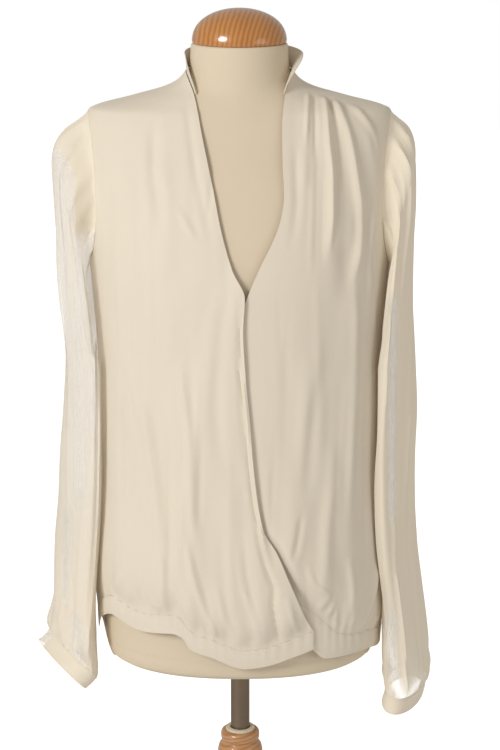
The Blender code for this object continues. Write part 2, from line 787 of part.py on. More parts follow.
def collar_grid():
    """The stand collar, from its seam on the neckline to its free upper edge."""
    seam = np.array(neckline())
    lengths = np.linalg.norm(np.diff(seam, axis=0), axis=1)
    places = np.concatenate([[0], np.cumsum(lengths)]) / lengths.sum()
    shares = np.linspace(0, 1, COLLAR_STEPS + 1)
    bases = np.stack([np.interp(shares, places, seam[:, axis]) for axis in range(3)], axis=1)
    tangents = np.gradient(bases, axis=0)
    height_at = table_curve(COLLAR_STATIONS, 0, 1)
    lean_at = table_curve(COLLAR_STATIONS, 0, 2)
    rows = [[], [], []]
    for share, base, tangent in zip(shares, bases, tangents):
        off_seam = np.cross(tangent, CLOTH.normal(base, -1 if base[1] < 0 else 1))
        off_seam *= math.copysign(COLLAR_GAP, off_seam[2]) / np.linalg.norm(off_seam)
        outwards = np.array([base[0], base[1], 0.0])
        outwards /= np.linalg.norm(outwards)
        for row, climb in zip(rows, (0.0, 0.45, 1.0)):
            rise = height_at(share) * climb
            lean = lean_at(share) * rise * climb - COLLAR_INSET
            row.append(base + off_seam + outwards * lean + np.array([0, 0, rise]))
    return rows


def material(name, colour, roughness, metallic=0.0, alpha=1.0):
    made = bpy.data.materials.new(name)
    made.use_nodes = True
    shader = made.node_tree.nodes["Principled BSDF"]
    shader.inputs["Base Color"].default_value = (*colour, 1.0)
    shader.inputs["Roughness"].default_value = roughness
    shader.inputs["Metallic"].default_value = metallic
    shader.inputs["Alpha"].default_value = alpha
    return made


def turned_object(name, profile, sides, made_of, collection, parent):
    """A turned piece: its profile runs down the outer side, and up a bore where it has one."""
    mesh = bpy.data.meshes.new(name)
    closed = profile[0][0] > 0
    edges = [(i, i + 1) for i in range(len(profile) - 1)]
    if closed:
        edges.append((len(profile) - 1, 0))
    mesh.from_pydata([(radius, 0.0, z) for radius, z in profile], edges, [])
    obj = add_object(name, mesh, made_of, collection, parent)
    screw = obj.modifiers.new("turned", "SCREW")
    screw.axis = "Z"
    screw.steps = sides
    screw.render_steps = sides
    screw.use_merge_vertices = True
    screw.merge_threshold = 0.00001
    return obj


def bust_object(made_of, collection, parent):
    """The padded torso and neck as one solid, with the pole's socket bored up into it."""
    sides = 28
    levels = [row[0] for row in BUST_LEVELS]
    heights = sorted(levels + [0.83, 0.91, 1.05, 1.17, 1.28])
    rings = [
        [BUST.at_angle(2 * math.pi * i / sides, z) for i in range(sides)] for z in heights
    ]
    bore_radius = POLE_RADIUS + RUNNING_GAP
    bore = [
        [
            np.array([bore_radius * math.sin(a), -bore_radius * math.cos(a), z])
            for a in (2 * math.pi * i / sides for i in range(sides))
        ]
        for z in (SOCKET_TOP_Z, BUST_BOTTOM_Z)
    ]
    grid = bore + rings
    mesh = bmesh.new()
    loops = [[mesh.verts.new(tuple(point)) for point in ring] for ring in grid]
    for lower, upper in zip(loops, loops[1:]):
        for i in range(sides):
            after = (i + 1) % sides
            mesh.faces.new((lower[i], lower[after], upper[after], upper[i]))
    mesh.faces.new(loops[-1])
    mesh.faces.new(list(reversed(loops[0])))
    bmesh.ops.recalc_face_normals(mesh, faces=mesh.faces[:])
    data = bpy.data.meshes.new("dress_form_bust")
    mesh.to_mesh(data)
    mesh.free()
    return add_object("dress_form_bust", data, made_of, collection, parent)


def neck_cap_profile():
    """A low turned dome that sits on the neck."""
    radius, base = 0.0515, NECK_TOP_Z + REST_GAP
    profile = [(0.0, base + CAP_HEIGHT)]
    for degrees in (15, 30, 45, 60, 75):
        turn = math.radians(degrees)
        profile.append((radius * math.sin(turn), base + CAP_HEIGHT * math.cos(turn) ** 0.85))
    profile += [(radius, base + 0.004), (radius - 0.0012, base), (0.0, base)]
    return profile


def pole_profile():
    top = SOCKET_TOP_Z - REST_GAP
    return [(0.0, top), (POLE_RADIUS, top), (POLE_RADIUS, POLE_BOTTOM_Z), (0.0, POLE_BOTTOM_Z)]


def bush_profile():
    """A flanged guide ring let into the top of the column."""
    inner = POLE_RADIUS + RUNNING_GAP
    top = COLUMN_TOP_Z + 0.003
    return [
        (inner, top),
        (0.0165, top),
        (0.0170, COLUMN_TOP_Z + REST_GAP),
        (0.0135, COLUMN_TOP_Z + REST_GAP),
        (0.0135, COLUMN_TOP_Z - 0.030),
        (inner, COLUMN_TOP_Z - 0.030),
    ]


# Turned column, top to bottom: radius, height below its top
COLUMN_TURNING = (
    (0.0205, 0.000),
    (0.0225, 0.003),
    (0.0225, 0.010),
    (0.0200, 0.013),
    (0.0245, 0.018),
    (0.0265, 0.026),
    (0.0250, 0.040),
    (0.0210, 0.070),
    (0.0195, 0.130),
    (0.0215, 0.190),
    (0.0290, 0.240),
    (0.0340, 0.270),
    (0.0340, 0.400),
    (0.0300, 0.415),
    (0.0220, 0.425),
)


def column_profile():
    wide = 0.0135 + REST_GAP
    narrow = POLE_RADIUS + 0.0015
    outer = [(radius, COLUMN_TOP_Z - drop) for radius, drop in COLUMN_TURNING]
    bore_bottom = POLE_BOTTOM_Z - 0.090
    shoulder = COLUMN_TOP_Z - 0.030 - REST_GAP
    bottom = COLUMN_TOP_Z - COLUMN_TURNING[-1][1]
    return (
        [(0.0, bore_bottom), (narrow, bore_bottom), (narrow, shoulder), (wide, shoulder)]
        + [(wide, COLUMN_TOP_Z)]
        + outer
        + [(0.0, bottom)]
    )


# A leg's centre line: reach from the pole's axis, height; then half width and half height
LEG_STATIONS = (
    (0.0343, 0.300, 0.0110, 0.0230),
    (0.0650, 0.296, 0.0110, 0.0200),
    (0.1100, 0.262, 0.0105, 0.0170),
    (0.1600, 0.190, 0.0100, 0.0155),
    (0.2050, 0.115, 0.0100, 0.0145),
    (0.2450, 0.050, 0.0105, 0.0140),
    (0.2720, 0.018, 0.0120, 0.0130),
)


def leg_object(name, degrees, made_of, collection):
    """A curved leg, eight-sided, that stands on a flat round pad of its own wood."""
    sides = 8
    turn = math.radians(degrees)
    outwards = np.array([math.cos(turn), math.sin(turn), 0.0])
    sideways = np.array([-math.sin(turn), math.cos(turn), 0.0])
    stations = [np.array(row) for row in LEG_STATIONS]
    mesh = bmesh.new()
    loops = []
    for k, (reach, height, half_width, half_height) in enumerate(stations):
        before, after = stations[max(k - 1, 0)], stations[min(k + 1, len(stations) - 1)]
        run, rise = after[0] - before[0], after[1] - before[1]
        if k == 0:
            run, rise = 1.0, 0.0
        length = math.hypot(run, rise)
        across = (-rise * outwards + run * np.array([0, 0, 1.0])) / length
        loop = []
        for i in range(sides):
            angle = 2 * math.pi * (i + 0.5) / sides
            point = reach * outwards + np.array([0, 0, height])
            point = point + half_width * math.cos(angle) * sideways
            point = point + half_height * math.sin(angle) * across
            loop.append(mesh.verts.new(tuple(point)))
        loops.append(loop)
    for lower, upper in zip(loops, loops[1:]):
        for i in range(sides):
            after = (i + 1) % sides
            mesh.faces.new((lower[i], lower[after], upper[after], upper[i]))
    mesh.faces.new(loops[0])
    mesh.faces.new(list(reversed(loops[-1])))
    bmesh.ops.recalc_face_normals(mesh, faces=mesh.faces[:])
    data = bpy.data.meshes.new(name)
    mesh.to_mesh(data)
    mesh.free()
    return add_object(name, data, made_of, collection, None)


def foot_cutter_object(degrees, collection):
    """The round foot that is joined to a leg's end."""
    turn = math.radians(degrees)
    reach = FOOT_REACH - FOOT_RADIUS
    foot = bmesh.new()
    bmesh.ops.create_cone(
        foot,
        cap_ends=True,
        segments=16,
        radius1=FOOT_RADIUS,
        radius2=FOOT_RADIUS * 0.85,
        depth=0.016,
    )
    bmesh.ops.translate(
        foot, verts=foot.verts[:], vec=(reach * math.cos(turn), reach * math.sin(turn), 0.008)
    )
    data = bpy.data.meshes.new("foot")
    foot.to_mesh(data)
    foot.free()
    obj = bpy.data.objects.new(f"foot_joined_{int(degrees)}", data)
    obj.hide_render = True
    obj.display_type = "WIRE"
    collection.objects.link(obj)
    return obj


def build_legs(wood, parts, helpers, parent):
    names = {90.0: "leg_back", 210.0: "leg_right", 330.0: "leg_left"}
    for degrees in LEG_ANGLES:
        leg = leg_object(names[degrees], degrees, wood, parts)
        foot = foot_cutter_object(degrees, helpers)
        join = leg.modifiers.new("foot", "BOOLEAN")
        join.operation = "UNION"
        join.object = foot
        leg.parent = parent
        foot.parent = parent


def build_cloth(cloth, sheer, parts, parent):
    def wall(name, outer, inner, made_of, closed=False):
        add_object(name, wall_mesh(name, outer, inner, closed), made_of, parts, parent)

    def tube(name, outer, thickness, made_of, closed=True):
        wall(name, outer, np.array(outer) - grid_normals(outer, closed) * thickness, made_of, closed)

    free_edge, side_edge = front_edges(lap_edge_x, lap_seam_z, -1)
    outer, inner, seam = panel_grid(
        side_edge, free_edge, lap_seam_z, OVER_COLUMNS, -1, lap_front_relief
    )
    wall("front_right", outer, inner, cloth)
    wall("hem_band_right", *band_grid(seam, lap_hem_z, -1, lap_lift), cloth)

    free_edge, side_edge = front_edges(under_edge_x, under_seam_z, 1)
    outer, inner, seam = panel_grid(
        free_edge, side_edge, under_seam_z, UNDER_COLUMNS, -1, under_front_relief
    )
    wall("front_left", outer, inner, cloth)
    wall("hem_band_left", *band_grid(seam, under_hem_z, -1, no_lift), cloth)

    left_edge, right_edge = back_edges()
    outer, inner, seam = panel_grid(
        left_edge, right_edge, back_seam_z, BACK_COLUMNS, 1, back_relief, back_spread
    )
    wall("back", outer, inner, cloth)
    wall("hem_band_back", *band_grid(seam, back_hem_z, 1, no_lift), cloth)

    for name, side_sign, head_rings, length_rings in (
        ("left", 1, HEAD_RINGS_LEFT, LENGTH_RINGS_LEFT),
        ("right", -1, HEAD_RINGS_RIGHT, LENGTH_RINGS_RIGHT),
    ):
        tube(f"sleeve_{name}", sleeve_grid(side_sign, head_rings, length_rings), WALL, sheer)
        tube(f"cuff_{name}", cuff_grid(side_sign, length_rings), CUFF_WALL, sheer)
    tube("stand_collar", collar_grid(), WALL, cloth, closed=False)


def main():
    for obj in list(bpy.data.objects):
        bpy.data.objects.remove(obj, do_unlink=True)
    parts = bpy.data.collections.new("wrap_blouse_on_dress_form")
    helpers = bpy.data.collections.new("joining_shapes")
    for collection in (parts, helpers):
        bpy.context.scene.collection.children.link(collection)

    stand = bpy.data.objects.new("stand_axis", None)
    stand.location = (0.0, POLE_Y, 0.0)
    slide = bpy.data.objects.new("pole_slide_axis", None)
    turn = bpy.data.objects.new("bust_turn_axis", None)
    slide.parent = stand
    turn.parent = slide
    for empty in (stand, slide, turn):
        parts.objects.link(empty)

    cloth = material("ivory crepe", (0.82, 0.76, 0.66), 0.75)
    sheer = material("ivory chiffon", (0.86, 0.80, 0.70), 0.60, alpha=0.6)
    jersey = material("cream jersey", (0.78, 0.70, 0.58), 0.85)
    varnished = material("varnished wood", (0.42, 0.16, 0.05), 0.25)
    turned_wood = material("turned wood", (0.62, 0.36, 0.17), 0.40)
    steel = material("steel tube", (0.50, 0.46, 0.42), 0.30, metallic=1.0)
    plastic = material("cream plastic", (0.80, 0.74, 0.62), 0.45)

    build_cloth(cloth, sheer, parts, turn)
    bust_object(jersey, parts, turn)
    turned_object("neck_cap", neck_cap_profile(), 28, varnished, parts, turn)
    turned_object("pole", pole_profile(), 24, steel, parts, slide)
    turned_object("guide_bush", bush_profile(), 24, plastic, parts, stand)
    turned_object("column", column_profile(), 24, turned_wood, parts, stand)
    build_legs(turned_wood, parts, helpers, stand)


main()
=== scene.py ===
"""Looks of a surplice blouse on its dress form: soft cloth, sheer sleeves, jersey, turned wood.

Metres, +Z up, the front faces -Y and the wearer's left is at +X. Points are worked out from the
pole's axis, as the cutter's sections are, and are moved to the pole's place when a mesh is made.
"""

import math

import bmesh
import bpy
import numpy as np
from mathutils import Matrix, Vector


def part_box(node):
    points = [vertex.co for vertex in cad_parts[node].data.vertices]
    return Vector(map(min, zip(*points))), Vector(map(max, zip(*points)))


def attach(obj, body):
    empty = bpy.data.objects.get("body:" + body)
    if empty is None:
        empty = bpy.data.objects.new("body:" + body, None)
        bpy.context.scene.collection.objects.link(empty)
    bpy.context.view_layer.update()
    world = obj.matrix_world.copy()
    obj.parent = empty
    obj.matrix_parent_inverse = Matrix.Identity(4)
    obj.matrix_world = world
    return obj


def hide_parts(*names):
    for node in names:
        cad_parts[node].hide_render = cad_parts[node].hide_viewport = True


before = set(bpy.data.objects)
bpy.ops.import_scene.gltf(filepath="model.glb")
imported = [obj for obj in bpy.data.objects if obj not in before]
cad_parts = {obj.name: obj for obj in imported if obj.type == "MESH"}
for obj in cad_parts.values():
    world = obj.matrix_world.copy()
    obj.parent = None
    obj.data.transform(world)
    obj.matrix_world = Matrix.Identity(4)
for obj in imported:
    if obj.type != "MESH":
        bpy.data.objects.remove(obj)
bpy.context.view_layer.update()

bl_info = {
    "name": "Surplice Blouse on a Dress Form",
    "version": (1, 0, 0),
    "blender": (4, 5, 0),
    "location": "View3D > Sidebar > Blouse",
    "description": "Builds a crossover blouse, its dress form and a plain studio",
    "category": "Add Mesh",
}

# The pole's place and the heights along it
POLE_Y = float(sum(corner[1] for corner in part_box("pole")) / 2)
COLUMN_TOP_Z = float(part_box("column")[1][2])
BUST_BOTTOM_Z = float(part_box("dress_form_bust")[0][2])
NECK_TOP_Z = float(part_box("dress_form_bust")[1][2])
CAP_TOP_Z = float(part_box("neck_cap")[1][2])
POLE_BOTTOM_Z = float(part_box("pole")[0][2])
SOCKET_TOP_Z = float(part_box("pole")[1][2]) + 0.0003
UNDERARM_Z = 1.165
SHOULDER_TIP_Z = 1.327
BACK_NECK_Z = 1.3705

# Seams and walls of the cut, which the cloth's outer face follows
SEAM_GAP = 0.00015
ARMHOLE_GAP = 0.0002
ARMHOLE_INSET = 0.017
WRAP_LIFT = 0.0036
BAND_HEIGHT = 0.022
BLOUSE_OVERHANG = 0.008
OVERHANG_HEIGHT = 0.040
POLE_RADIUS = 0.011
RUNNING_GAP = 0.0006
REST_GAP = 0.0003
FOOT_REACH = 0.290
FOOT_RADIUS = 0.017
# A foot's turning: share of its radius, and height
FOOT_TURNING = (
    (0.4, 0.0), (0.93, 0.0), (0.98, 0.0006), (1.0, 0.002),
    (0.96, 0.006), (0.88, 0.0125), (0.84, 0.0152), (0.8, 0.016),
    (0.3, 0.016),
)
BUSH_RADIUS = 0.0135
BUSH_DEPTH = 0.030
CAP_RADIUS = 0.0515
BUST_GIRTH = 0.9

# How much of the tables' drapes and creases the cloth shows, and how far stitches stand off it
DRAPE_SHARE, CREASE_SHARE = 0.55, 1.25
# Widths of the broad gathers above the bands
FRONT_GATHER_PITCH, BACK_GATHER_PITCH = 0.030, 0.034
# Heights of the waves, rolls and puckers that formulas make
BROAD_GATHER, FINE_GATHER = 0.0022, 0.0010
BAND_ROLL, BAND_PUCKER, BAND_SWELL = 0.0005, 0.00045, 0.0012
SLEEVE_GATHER, SLEEVE_PLEAT = 0.0011, 0.0007
CUFF_ROLL, CUFF_BEND = 0.0004, 0.0010
COLLAR_WAVE = 0.0009
# Waves of a sleeve's rings, as shares of their width
SLEEVE_WAVE, SLEEVE_SWAY, CUFF_WAVE = 0.12, 0.05, 0.07
# How far the body swells beside the sleeves above the band, at what height, and how far up and down
BODY_SWELL, BODY_SWELL_Z, BODY_SWELL_REACH = 0.006, 0.80, 0.05
# The bust's seam line: depth, height above the bust's lower end, width
FORM_SEAM_DEPTH, FORM_SEAM_RISE, FORM_SEAM_WIDTH = 0.0007, 0.020, 0.0012
SIDE_HEM_Z = 0.75
STITCH_RISE = 0.0001
# Rows of a band or cuff, counted from its ends, that stitches follow
STITCH_ROWS = (1, -2)
# Clearness of the cuffs, doubled in front and thinner behind, where 1 is clear and COVERED is not
CUFF_CLEAR_BEHIND, COVERED = 0.3, -1.0

# Fineness of the meshes
ROWS_BELOW, ROWS_ABOVE = 132, 64
OVER_COLUMNS, UNDER_COLUMNS, BACK_COLUMNS = 136, 112, 150
NECK_SHARE = 14 / 30
SLEEVE_SIDES, RINGS_PER_STATION = 112, 11
TURNED_SIDES = 96

# Sections of the blouse: height, half width, depth in front, depth behind, squareness
CLOTH_LEVELS = (
    (0.64, 0.158, 0.118, 0.112, 2.3),
    (0.7, 0.161, 0.122, 0.116, 2.3),
    (0.76, 0.164, 0.128, 0.12, 2.3),
    (0.85, 0.162, 0.132, 0.121, 2.3),
    (0.95, 0.1585, 0.131, 0.118, 2.3),
    (1.05, 0.1585, 0.131, 0.117, 2.3),
    (1.14, 0.164, 0.1325, 0.119, 2.3),
    (1.2, 0.169, 0.1255, 0.119, 2.25),
    (1.26, 0.172, 0.107, 0.112, 2.15),
    (1.31, 0.17, 0.082, 0.097, 1.95),
    (1.329, 0.164, 0.0715, 0.088, 1.85),
    (1.342, 0.12, 0.064, 0.08, 1.8),
    (1.351, 0.087, 0.06, 0.073, 1.8),
    (1.357, 0.073, 0.058, 0.069, 1.85),
    (1.364, 0.0635, 0.0575, 0.0655, 1.95),
    (1.3705, 0.0585, 0.057, 0.0625, 2.0),
)

# Sections of the bust: the same columns
BUST_LEVELS = (
    (0.705, 0.144, 0.105, 0.097, 2.25),
    (0.711, 0.1515, 0.112, 0.104, 2.25),
    (0.722, 0.154, 0.115, 0.106, 2.25),
    (0.79, 0.157, 0.119, 0.112, 2.25),
    (0.87, 0.15, 0.113, 0.102, 2.2),
    (0.95, 0.134, 0.103, 0.09, 2.15),
    (1.02, 0.124, 0.101, 0.086, 2.15),
    (1.085, 0.132, 0.115, 0.095, 2.2),
    (1.14, 0.148, 0.127, 0.106, 2.3),
    (1.2, 0.159, 0.1205, 0.111, 2.25),
    (1.255, 0.164, 0.104, 0.107, 2.15),
    (1.3, 0.1635, 0.0815, 0.095, 1.95),
    (1.323, 0.1565, 0.071, 0.086, 1.85),
    (1.3361, 0.1305, 0.064, 0.079, 1.8),
    (1.3462, 0.0925, 0.059, 0.071, 1.8),
    (1.3532, 0.0718, 0.056, 0.066, 1.85),
    (1.3608, 0.0593, 0.0545, 0.06, 1.95),
    (1.372, 0.0545, 0.0535, 0.055, 2.0),
    (1.4, 0.0525, 0.0525, 0.0525, 2.0),
)

# Free edge of the lapping front from hem to neck: height, place across
LAP_EDGE = (
    (0.75, 0.091), (0.787, 0.07), (0.822, 0.056), (0.863, 0.04),
    (0.89, 0.0255), (0.96, 0.015), (1.016, 0.011), (1.057, 0.007),
    (1.11, 0.004), (1.146, 0.006), (1.175, -0.007), (1.217, -0.019),
    (1.256, -0.027), (1.309, -0.039), (1.349, -0.048), (1.363, -0.0545),
    (1.3705, -0.0585),
)

# Free edge of the front that lies under it: height, place across
UNDER_EDGE = (
    (0.79, -0.07), (0.84, -0.058), (0.9, -0.046), (0.98, -0.032),
    (1.05, -0.018), (1.11, -0.004), (1.154, 0.0115), (1.181, 0.0236),
    (1.205, 0.0357), (1.228, 0.044), (1.251, 0.0475), (1.281, 0.046),
    (1.318, 0.0456), (1.349, 0.049), (1.363, 0.0545), (1.3705, 0.0585),
)

# Lower edge of each front's band and of the back's: place across, height
LAP_HEM = (
    (-0.163, 0.735), (-0.157, 0.757), (-0.142, 0.77), (-0.124, 0.765),
    (-0.108, 0.762), (-0.073, 0.766), (-0.062, 0.762), (-0.0545, 0.75),
    (-0.03, 0.74), (0.006, 0.727), (0.025, 0.729), (0.058, 0.739),
    (0.091, 0.75),
)
UNDER_HEM = (
    (-0.07, 0.792), (0.02, 0.786), (0.05, 0.773), (0.065, 0.76),
    (0.08, 0.745), (0.0957, 0.731), (0.129, 0.729), (0.146, 0.727),
    (0.163, 0.718),
)
UNDER_SEAM = (
    (-0.07, 0.822), (0.02, 0.819), (0.05, 0.811), (0.0685, 0.799),
    (0.0807, 0.789), (0.0927, 0.777), (0.1089, 0.76), (0.1226, 0.754),
    (0.146, 0.75), (0.163, 0.74),
)
BACK_HEM = (
    (-0.163, 0.735), (-0.158, 0.7), (-0.15, 0.672), (-0.12, 0.658),
    (0.0, 0.65), (0.12, 0.66), (0.15, 0.674), (0.158, 0.696),
    (0.163, 0.718),
)

# Broad drapes of the fronts: across and height at the top, the same at the bottom, bow, half width,
# height
FRONT_DRAPES = (
    (-0.061, 1.09, -0.04, 0.79, -0.006, 0.02, 0.004),
    (-0.118, 1.1, -0.08, 0.79, -0.008, 0.022, 0.0045),
    (-0.14, 1.0, -0.125, 0.79, 0.004, 0.018, 0.0035),
    (-0.086, 1.3, -0.08, 1.15, 0.002, 0.016, 0.003),
    (-0.12, 1.29, -0.128, 1.12, 0.004, 0.018, 0.0028),
    (0.01, 0.9, 0.02, 0.76, 0.003, 0.013, 0.003),
    (0.034, 0.86, 0.048, 0.765, 0.003, 0.012, 0.003),
    (-0.01, 0.96, -0.012, 0.77, 0.002, 0.014, 0.003),
    (0.077, 1.11, 0.056, 0.83, 0.003, 0.016, 0.0035),
    (0.128, 1.25, 0.121, 0.79, -0.006, 0.016, 0.005),
    (0.098, 1.0, 0.094, 0.8, 0.003, 0.014, 0.003),
    (0.148, 1.1, 0.147, 0.78, 0.0, 0.014, 0.003),
    (0.085, 1.352, 0.096, 1.17, 0.006, 0.012, 0.005),
    (0.105, 1.346, 0.13, 1.22, 0.006, 0.012, 0.004),
    (0.125, 1.34, 0.152, 1.23, 0.006, 0.012, 0.0035),
    (0.07, 1.352, 0.068, 1.25, 0.002, 0.009, 0.003),
    (0.158, 1.3, 0.14, 1.18, 0.004, 0.014, 0.004),
)
BACK_DRAPES = (
    (-0.11, 1.25, -0.095, 0.7, 0.006, 0.02, 0.0045),
    (-0.065, 1.13, -0.05, 0.7, -0.004, 0.018, 0.004),
    (-0.015, 1.05, -0.01, 0.69, 0.004, 0.018, 0.0035),
    (0.035, 1.15, 0.03, 0.69, -0.003, 0.018, 0.0045),
    (0.08, 1.05, 0.07, 0.7, 0.004, 0.016, 0.0035),
    (0.12, 1.23, 0.105, 0.7, -0.005, 0.02, 0.0045),
    (-0.14, 1.06, -0.13, 0.72, 0.0, 0.014, 0.003),
    (0.143, 1.06, 0.135, 0.72, 0.0, 0.014, 0.003),
)

# Creases of the lapping front: path of (height, place across) from the top, half width, height of
# the ridge, height of the step that rises towards +X, and the lengths over which it starts and ends
LAP_CREASES = (
    (
        ((1.322, -0.0915), (1.277, -0.0911), (1.245, -0.0855), (1.205, -0.0823)),
        0.009, -0.0022, 0.0, 0.05, 0.06,
    ),
    (((1.236, -0.064), (1.228, -0.0584), (1.206, -0.0466)), 0.005, 0.0012, 0.0, 0.02, 0.02),
    (
        ((1.075, -0.063), (0.979, -0.0518), (0.915, -0.0501), (0.88, -0.0454)),
        0.0065, 0.0017, -0.0004, 0.07, 0.05,
    ),
    (((1.07, -0.12), (0.989, -0.0975)), 0.008, 0.0012, 0.0, 0.06, 0.06),
    (((1.03, -0.1036), (0.932, -0.0904), (0.857, -0.0812)), 0.007, 0.0017, 0.0, 0.07, 0.06),
    (
        ((0.88, -0.0574), (0.845, -0.0494), (0.822, -0.0436), (0.79, -0.0334), (0.762, -0.0236)),
        0.005, 0.0022, 0.0, 0.05, 0.02,
    ),
    (
        ((0.876, -0.0872), (0.838, -0.0803), (0.804, -0.0806), (0.786, -0.0786)),
        0.0045, 0.0017, 0.0, 0.05, 0.02,
    ),
    (((0.832, -0.0733), (0.806, -0.0607), (0.79, -0.056)), 0.004, 0.0012, 0.0, 0.03, 0.02),
    (((0.818, -0.12), (0.796, -0.1191)), 0.0035, 0.0014, 0.0, 0.02, 0.01),
    (((0.806, -0.096), (0.787, -0.0831)), 0.0035, 0.0014, 0.0, 0.02, 0.01),
    (((0.82, -0.108), (0.8, -0.105)), 0.003, -0.001, 0.0, 0.02, 0.01),
    (((0.83, -0.1235), (0.8, -0.14), (0.79, -0.148)), 0.006, 0.002, 0.0, 0.03, 0.02),
    (
        ((0.88, 0.0004), (0.842, 0.0028), (0.817, 0.0082), (0.778, 0.0181), (0.76, 0.0225)),
        0.0038, 0.0018, -0.0006, 0.05, 0.02,
    ),
    (
        ((0.812, 0.008), (0.802, 0.0098), (0.779, 0.017), (0.76, 0.019)),
        0.003, -0.0014, 0.0, 0.02, 0.02,
    ),
    (
        (
            (0.84, 0.031), (0.822, 0.0368), (0.81, 0.0358),
            (0.788, 0.0383), (0.765, 0.0419), (0.748, 0.0479),
        ),
        0.0038, -0.002, 0.0, 0.03, 0.02,
    ),
    (((0.83, -0.024), (0.8, -0.018), (0.765, -0.006)), 0.0042, 0.0014, 0.0, 0.04, 0.02),
    (((0.815, 0.05), (0.79, 0.056), (0.765, 0.064)), 0.0034, 0.0014, 0.0, 0.03, 0.02),
    (
        (
            (1.14, 0.0), (1.058, 0.0015), (0.98, 0.008), (0.902, 0.0176),
            (0.877, 0.0212), (0.856, 0.0258), (0.822, 0.0365),
        ),
        0.0034, -0.0016, 0.0, 0.06, 0.03,
    ),
    (
        (
            (1.13, 0.0035), (1.058, 0.0052), (0.98, 0.0118),
            (0.902, 0.0216), (0.877, 0.0262), (0.85, 0.033),
        ),
        0.003, 0.0012, 0.0, 0.05, 0.03,
    ),
    (
        ((1.16, -0.01), (1.1, -0.02), (1.03, -0.024), (0.96, -0.019)),
        0.01, -0.0016, 0.0, 0.06, 0.08,
    ),
    (
        ((1.345, -0.056), (1.3, -0.05), (1.25, -0.04), (1.2, -0.028)),
        0.006, -0.0008, 0.0, 0.03, 0.06,
    ),
)

# Creases of the front beneath, from the gathers at its shoulder to those above its band
UNDER_CREASES = (
    (
        ((1.357, 0.0721), (1.352, 0.0735), (1.33, 0.0722), (1.302, 0.0707)),
        0.0034, 0.0014, 0.0, 0.006, 0.03,
    ),
    (
        (
            (1.35, 0.088), (1.34, 0.0928), (1.301, 0.0953),
            (1.269, 0.0982), (1.23, 0.0981), (1.197, 0.096),
        ),
        0.0042, 0.0026, -0.0012, 0.008, 0.06,
    ),
    (
        (
            (1.347, 0.0999), (1.329, 0.1096), (1.311, 0.1159), (1.267, 0.1242),
            (1.217, 0.1297), (1.185, 0.1276), (1.159, 0.1224),
        ),
        0.0048, 0.0026, -0.0008, 0.008, 0.05,
    ),
    (
        ((1.15, 0.1235), (1.115, 0.1251), (1.047, 0.125), (0.969, 0.1226), (0.9, 0.1215)),
        0.006, 0.0018, -0.001, 0.06, 0.1,
    ),
    (
        ((1.344, 0.1108), (1.331, 0.1272), (1.302, 0.1478), (1.28, 0.1528)),
        0.004, 0.0022, 0.0, 0.008, 0.03,
    ),
    (
        ((1.348, 0.0935), (1.331, 0.1015), (1.305, 0.105), (1.27, 0.1095)),
        0.0036, -0.0018, 0.0, 0.008, 0.05,
    ),
    (((1.349, 0.08), (1.325, 0.0812), (1.29, 0.0805)), 0.0034, -0.0014, 0.0, 0.008, 0.04),
    (((1.2, 0.116), (1.168, 0.1158), (1.14, 0.1158)), 0.013, -0.0026, 0.0, 0.03, 0.04),
    (
        (
            (1.3, 0.169), (1.282, 0.1621), (1.247, 0.151), (1.216, 0.1437),
            (1.183, 0.14), (1.148, 0.1405), (1.125, 0.1396),
        ),
        0.0042, 0.0022, 0.0, 0.02, 0.06,
    ),
    (
        ((1.276, 0.1677), (1.237, 0.156), (1.206, 0.1489), (1.165, 0.1426)),
        0.0034, -0.0016, 0.0, 0.02, 0.04,
    ),
    (((0.905, 0.067), (0.869, 0.0604), (0.851, 0.0558)), 0.0042, -0.0018, 0.0, 0.03, 0.03),
    (
        ((0.85, 0.072), (0.825, 0.079), (0.809, 0.0943), (0.791, 0.0825)),
        0.004, 0.0012, 0.0, 0.03, 0.01,
    ),
    (((0.805, 0.1015), (0.798, 0.1007), (0.782, 0.0958)), 0.0034, 0.0016, 0.0, 0.02, 0.01),
    (((0.795, 0.104), (0.783, 0.1043), (0.766, 0.1078)), 0.003, 0.0014, 0.0, 0.02, 0.01),
    (
        ((0.845, 0.119), (0.835, 0.1195), (0.81, 0.121), (0.78, 0.12)),
        0.005, 0.0018, 0.0, 0.03, 0.03,
    ),
    (
        ((0.83, 0.151), (0.807, 0.1494), (0.782, 0.1446), (0.756, 0.136)),
        0.0036, 0.0026, -0.0008, 0.03, 0.01,
    ),
    (
        ((0.815, 0.16), (0.79, 0.158), (0.766, 0.156), (0.75, 0.151)),
        0.003, 0.0016, 0.0, 0.02, 0.01,
    ),
    (((0.8, 0.13), (0.78, 0.129), (0.762, 0.126)), 0.0032, -0.0016, 0.0, 0.02, 0.01),
    (((0.93, 0.098), (0.88, 0.094), (0.82, 0.09)), 0.008, 0.0016, 0.0, 0.06, 0.05),
    (((1.06, 0.085), (0.98, 0.076), (0.91, 0.07)), 0.009, -0.0014, 0.0, 0.08, 0.06),
    (((1.3, 0.06), (1.25, 0.061), (1.2, 0.056)), 0.006, -0.001, 0.0, 0.04, 0.06),
)

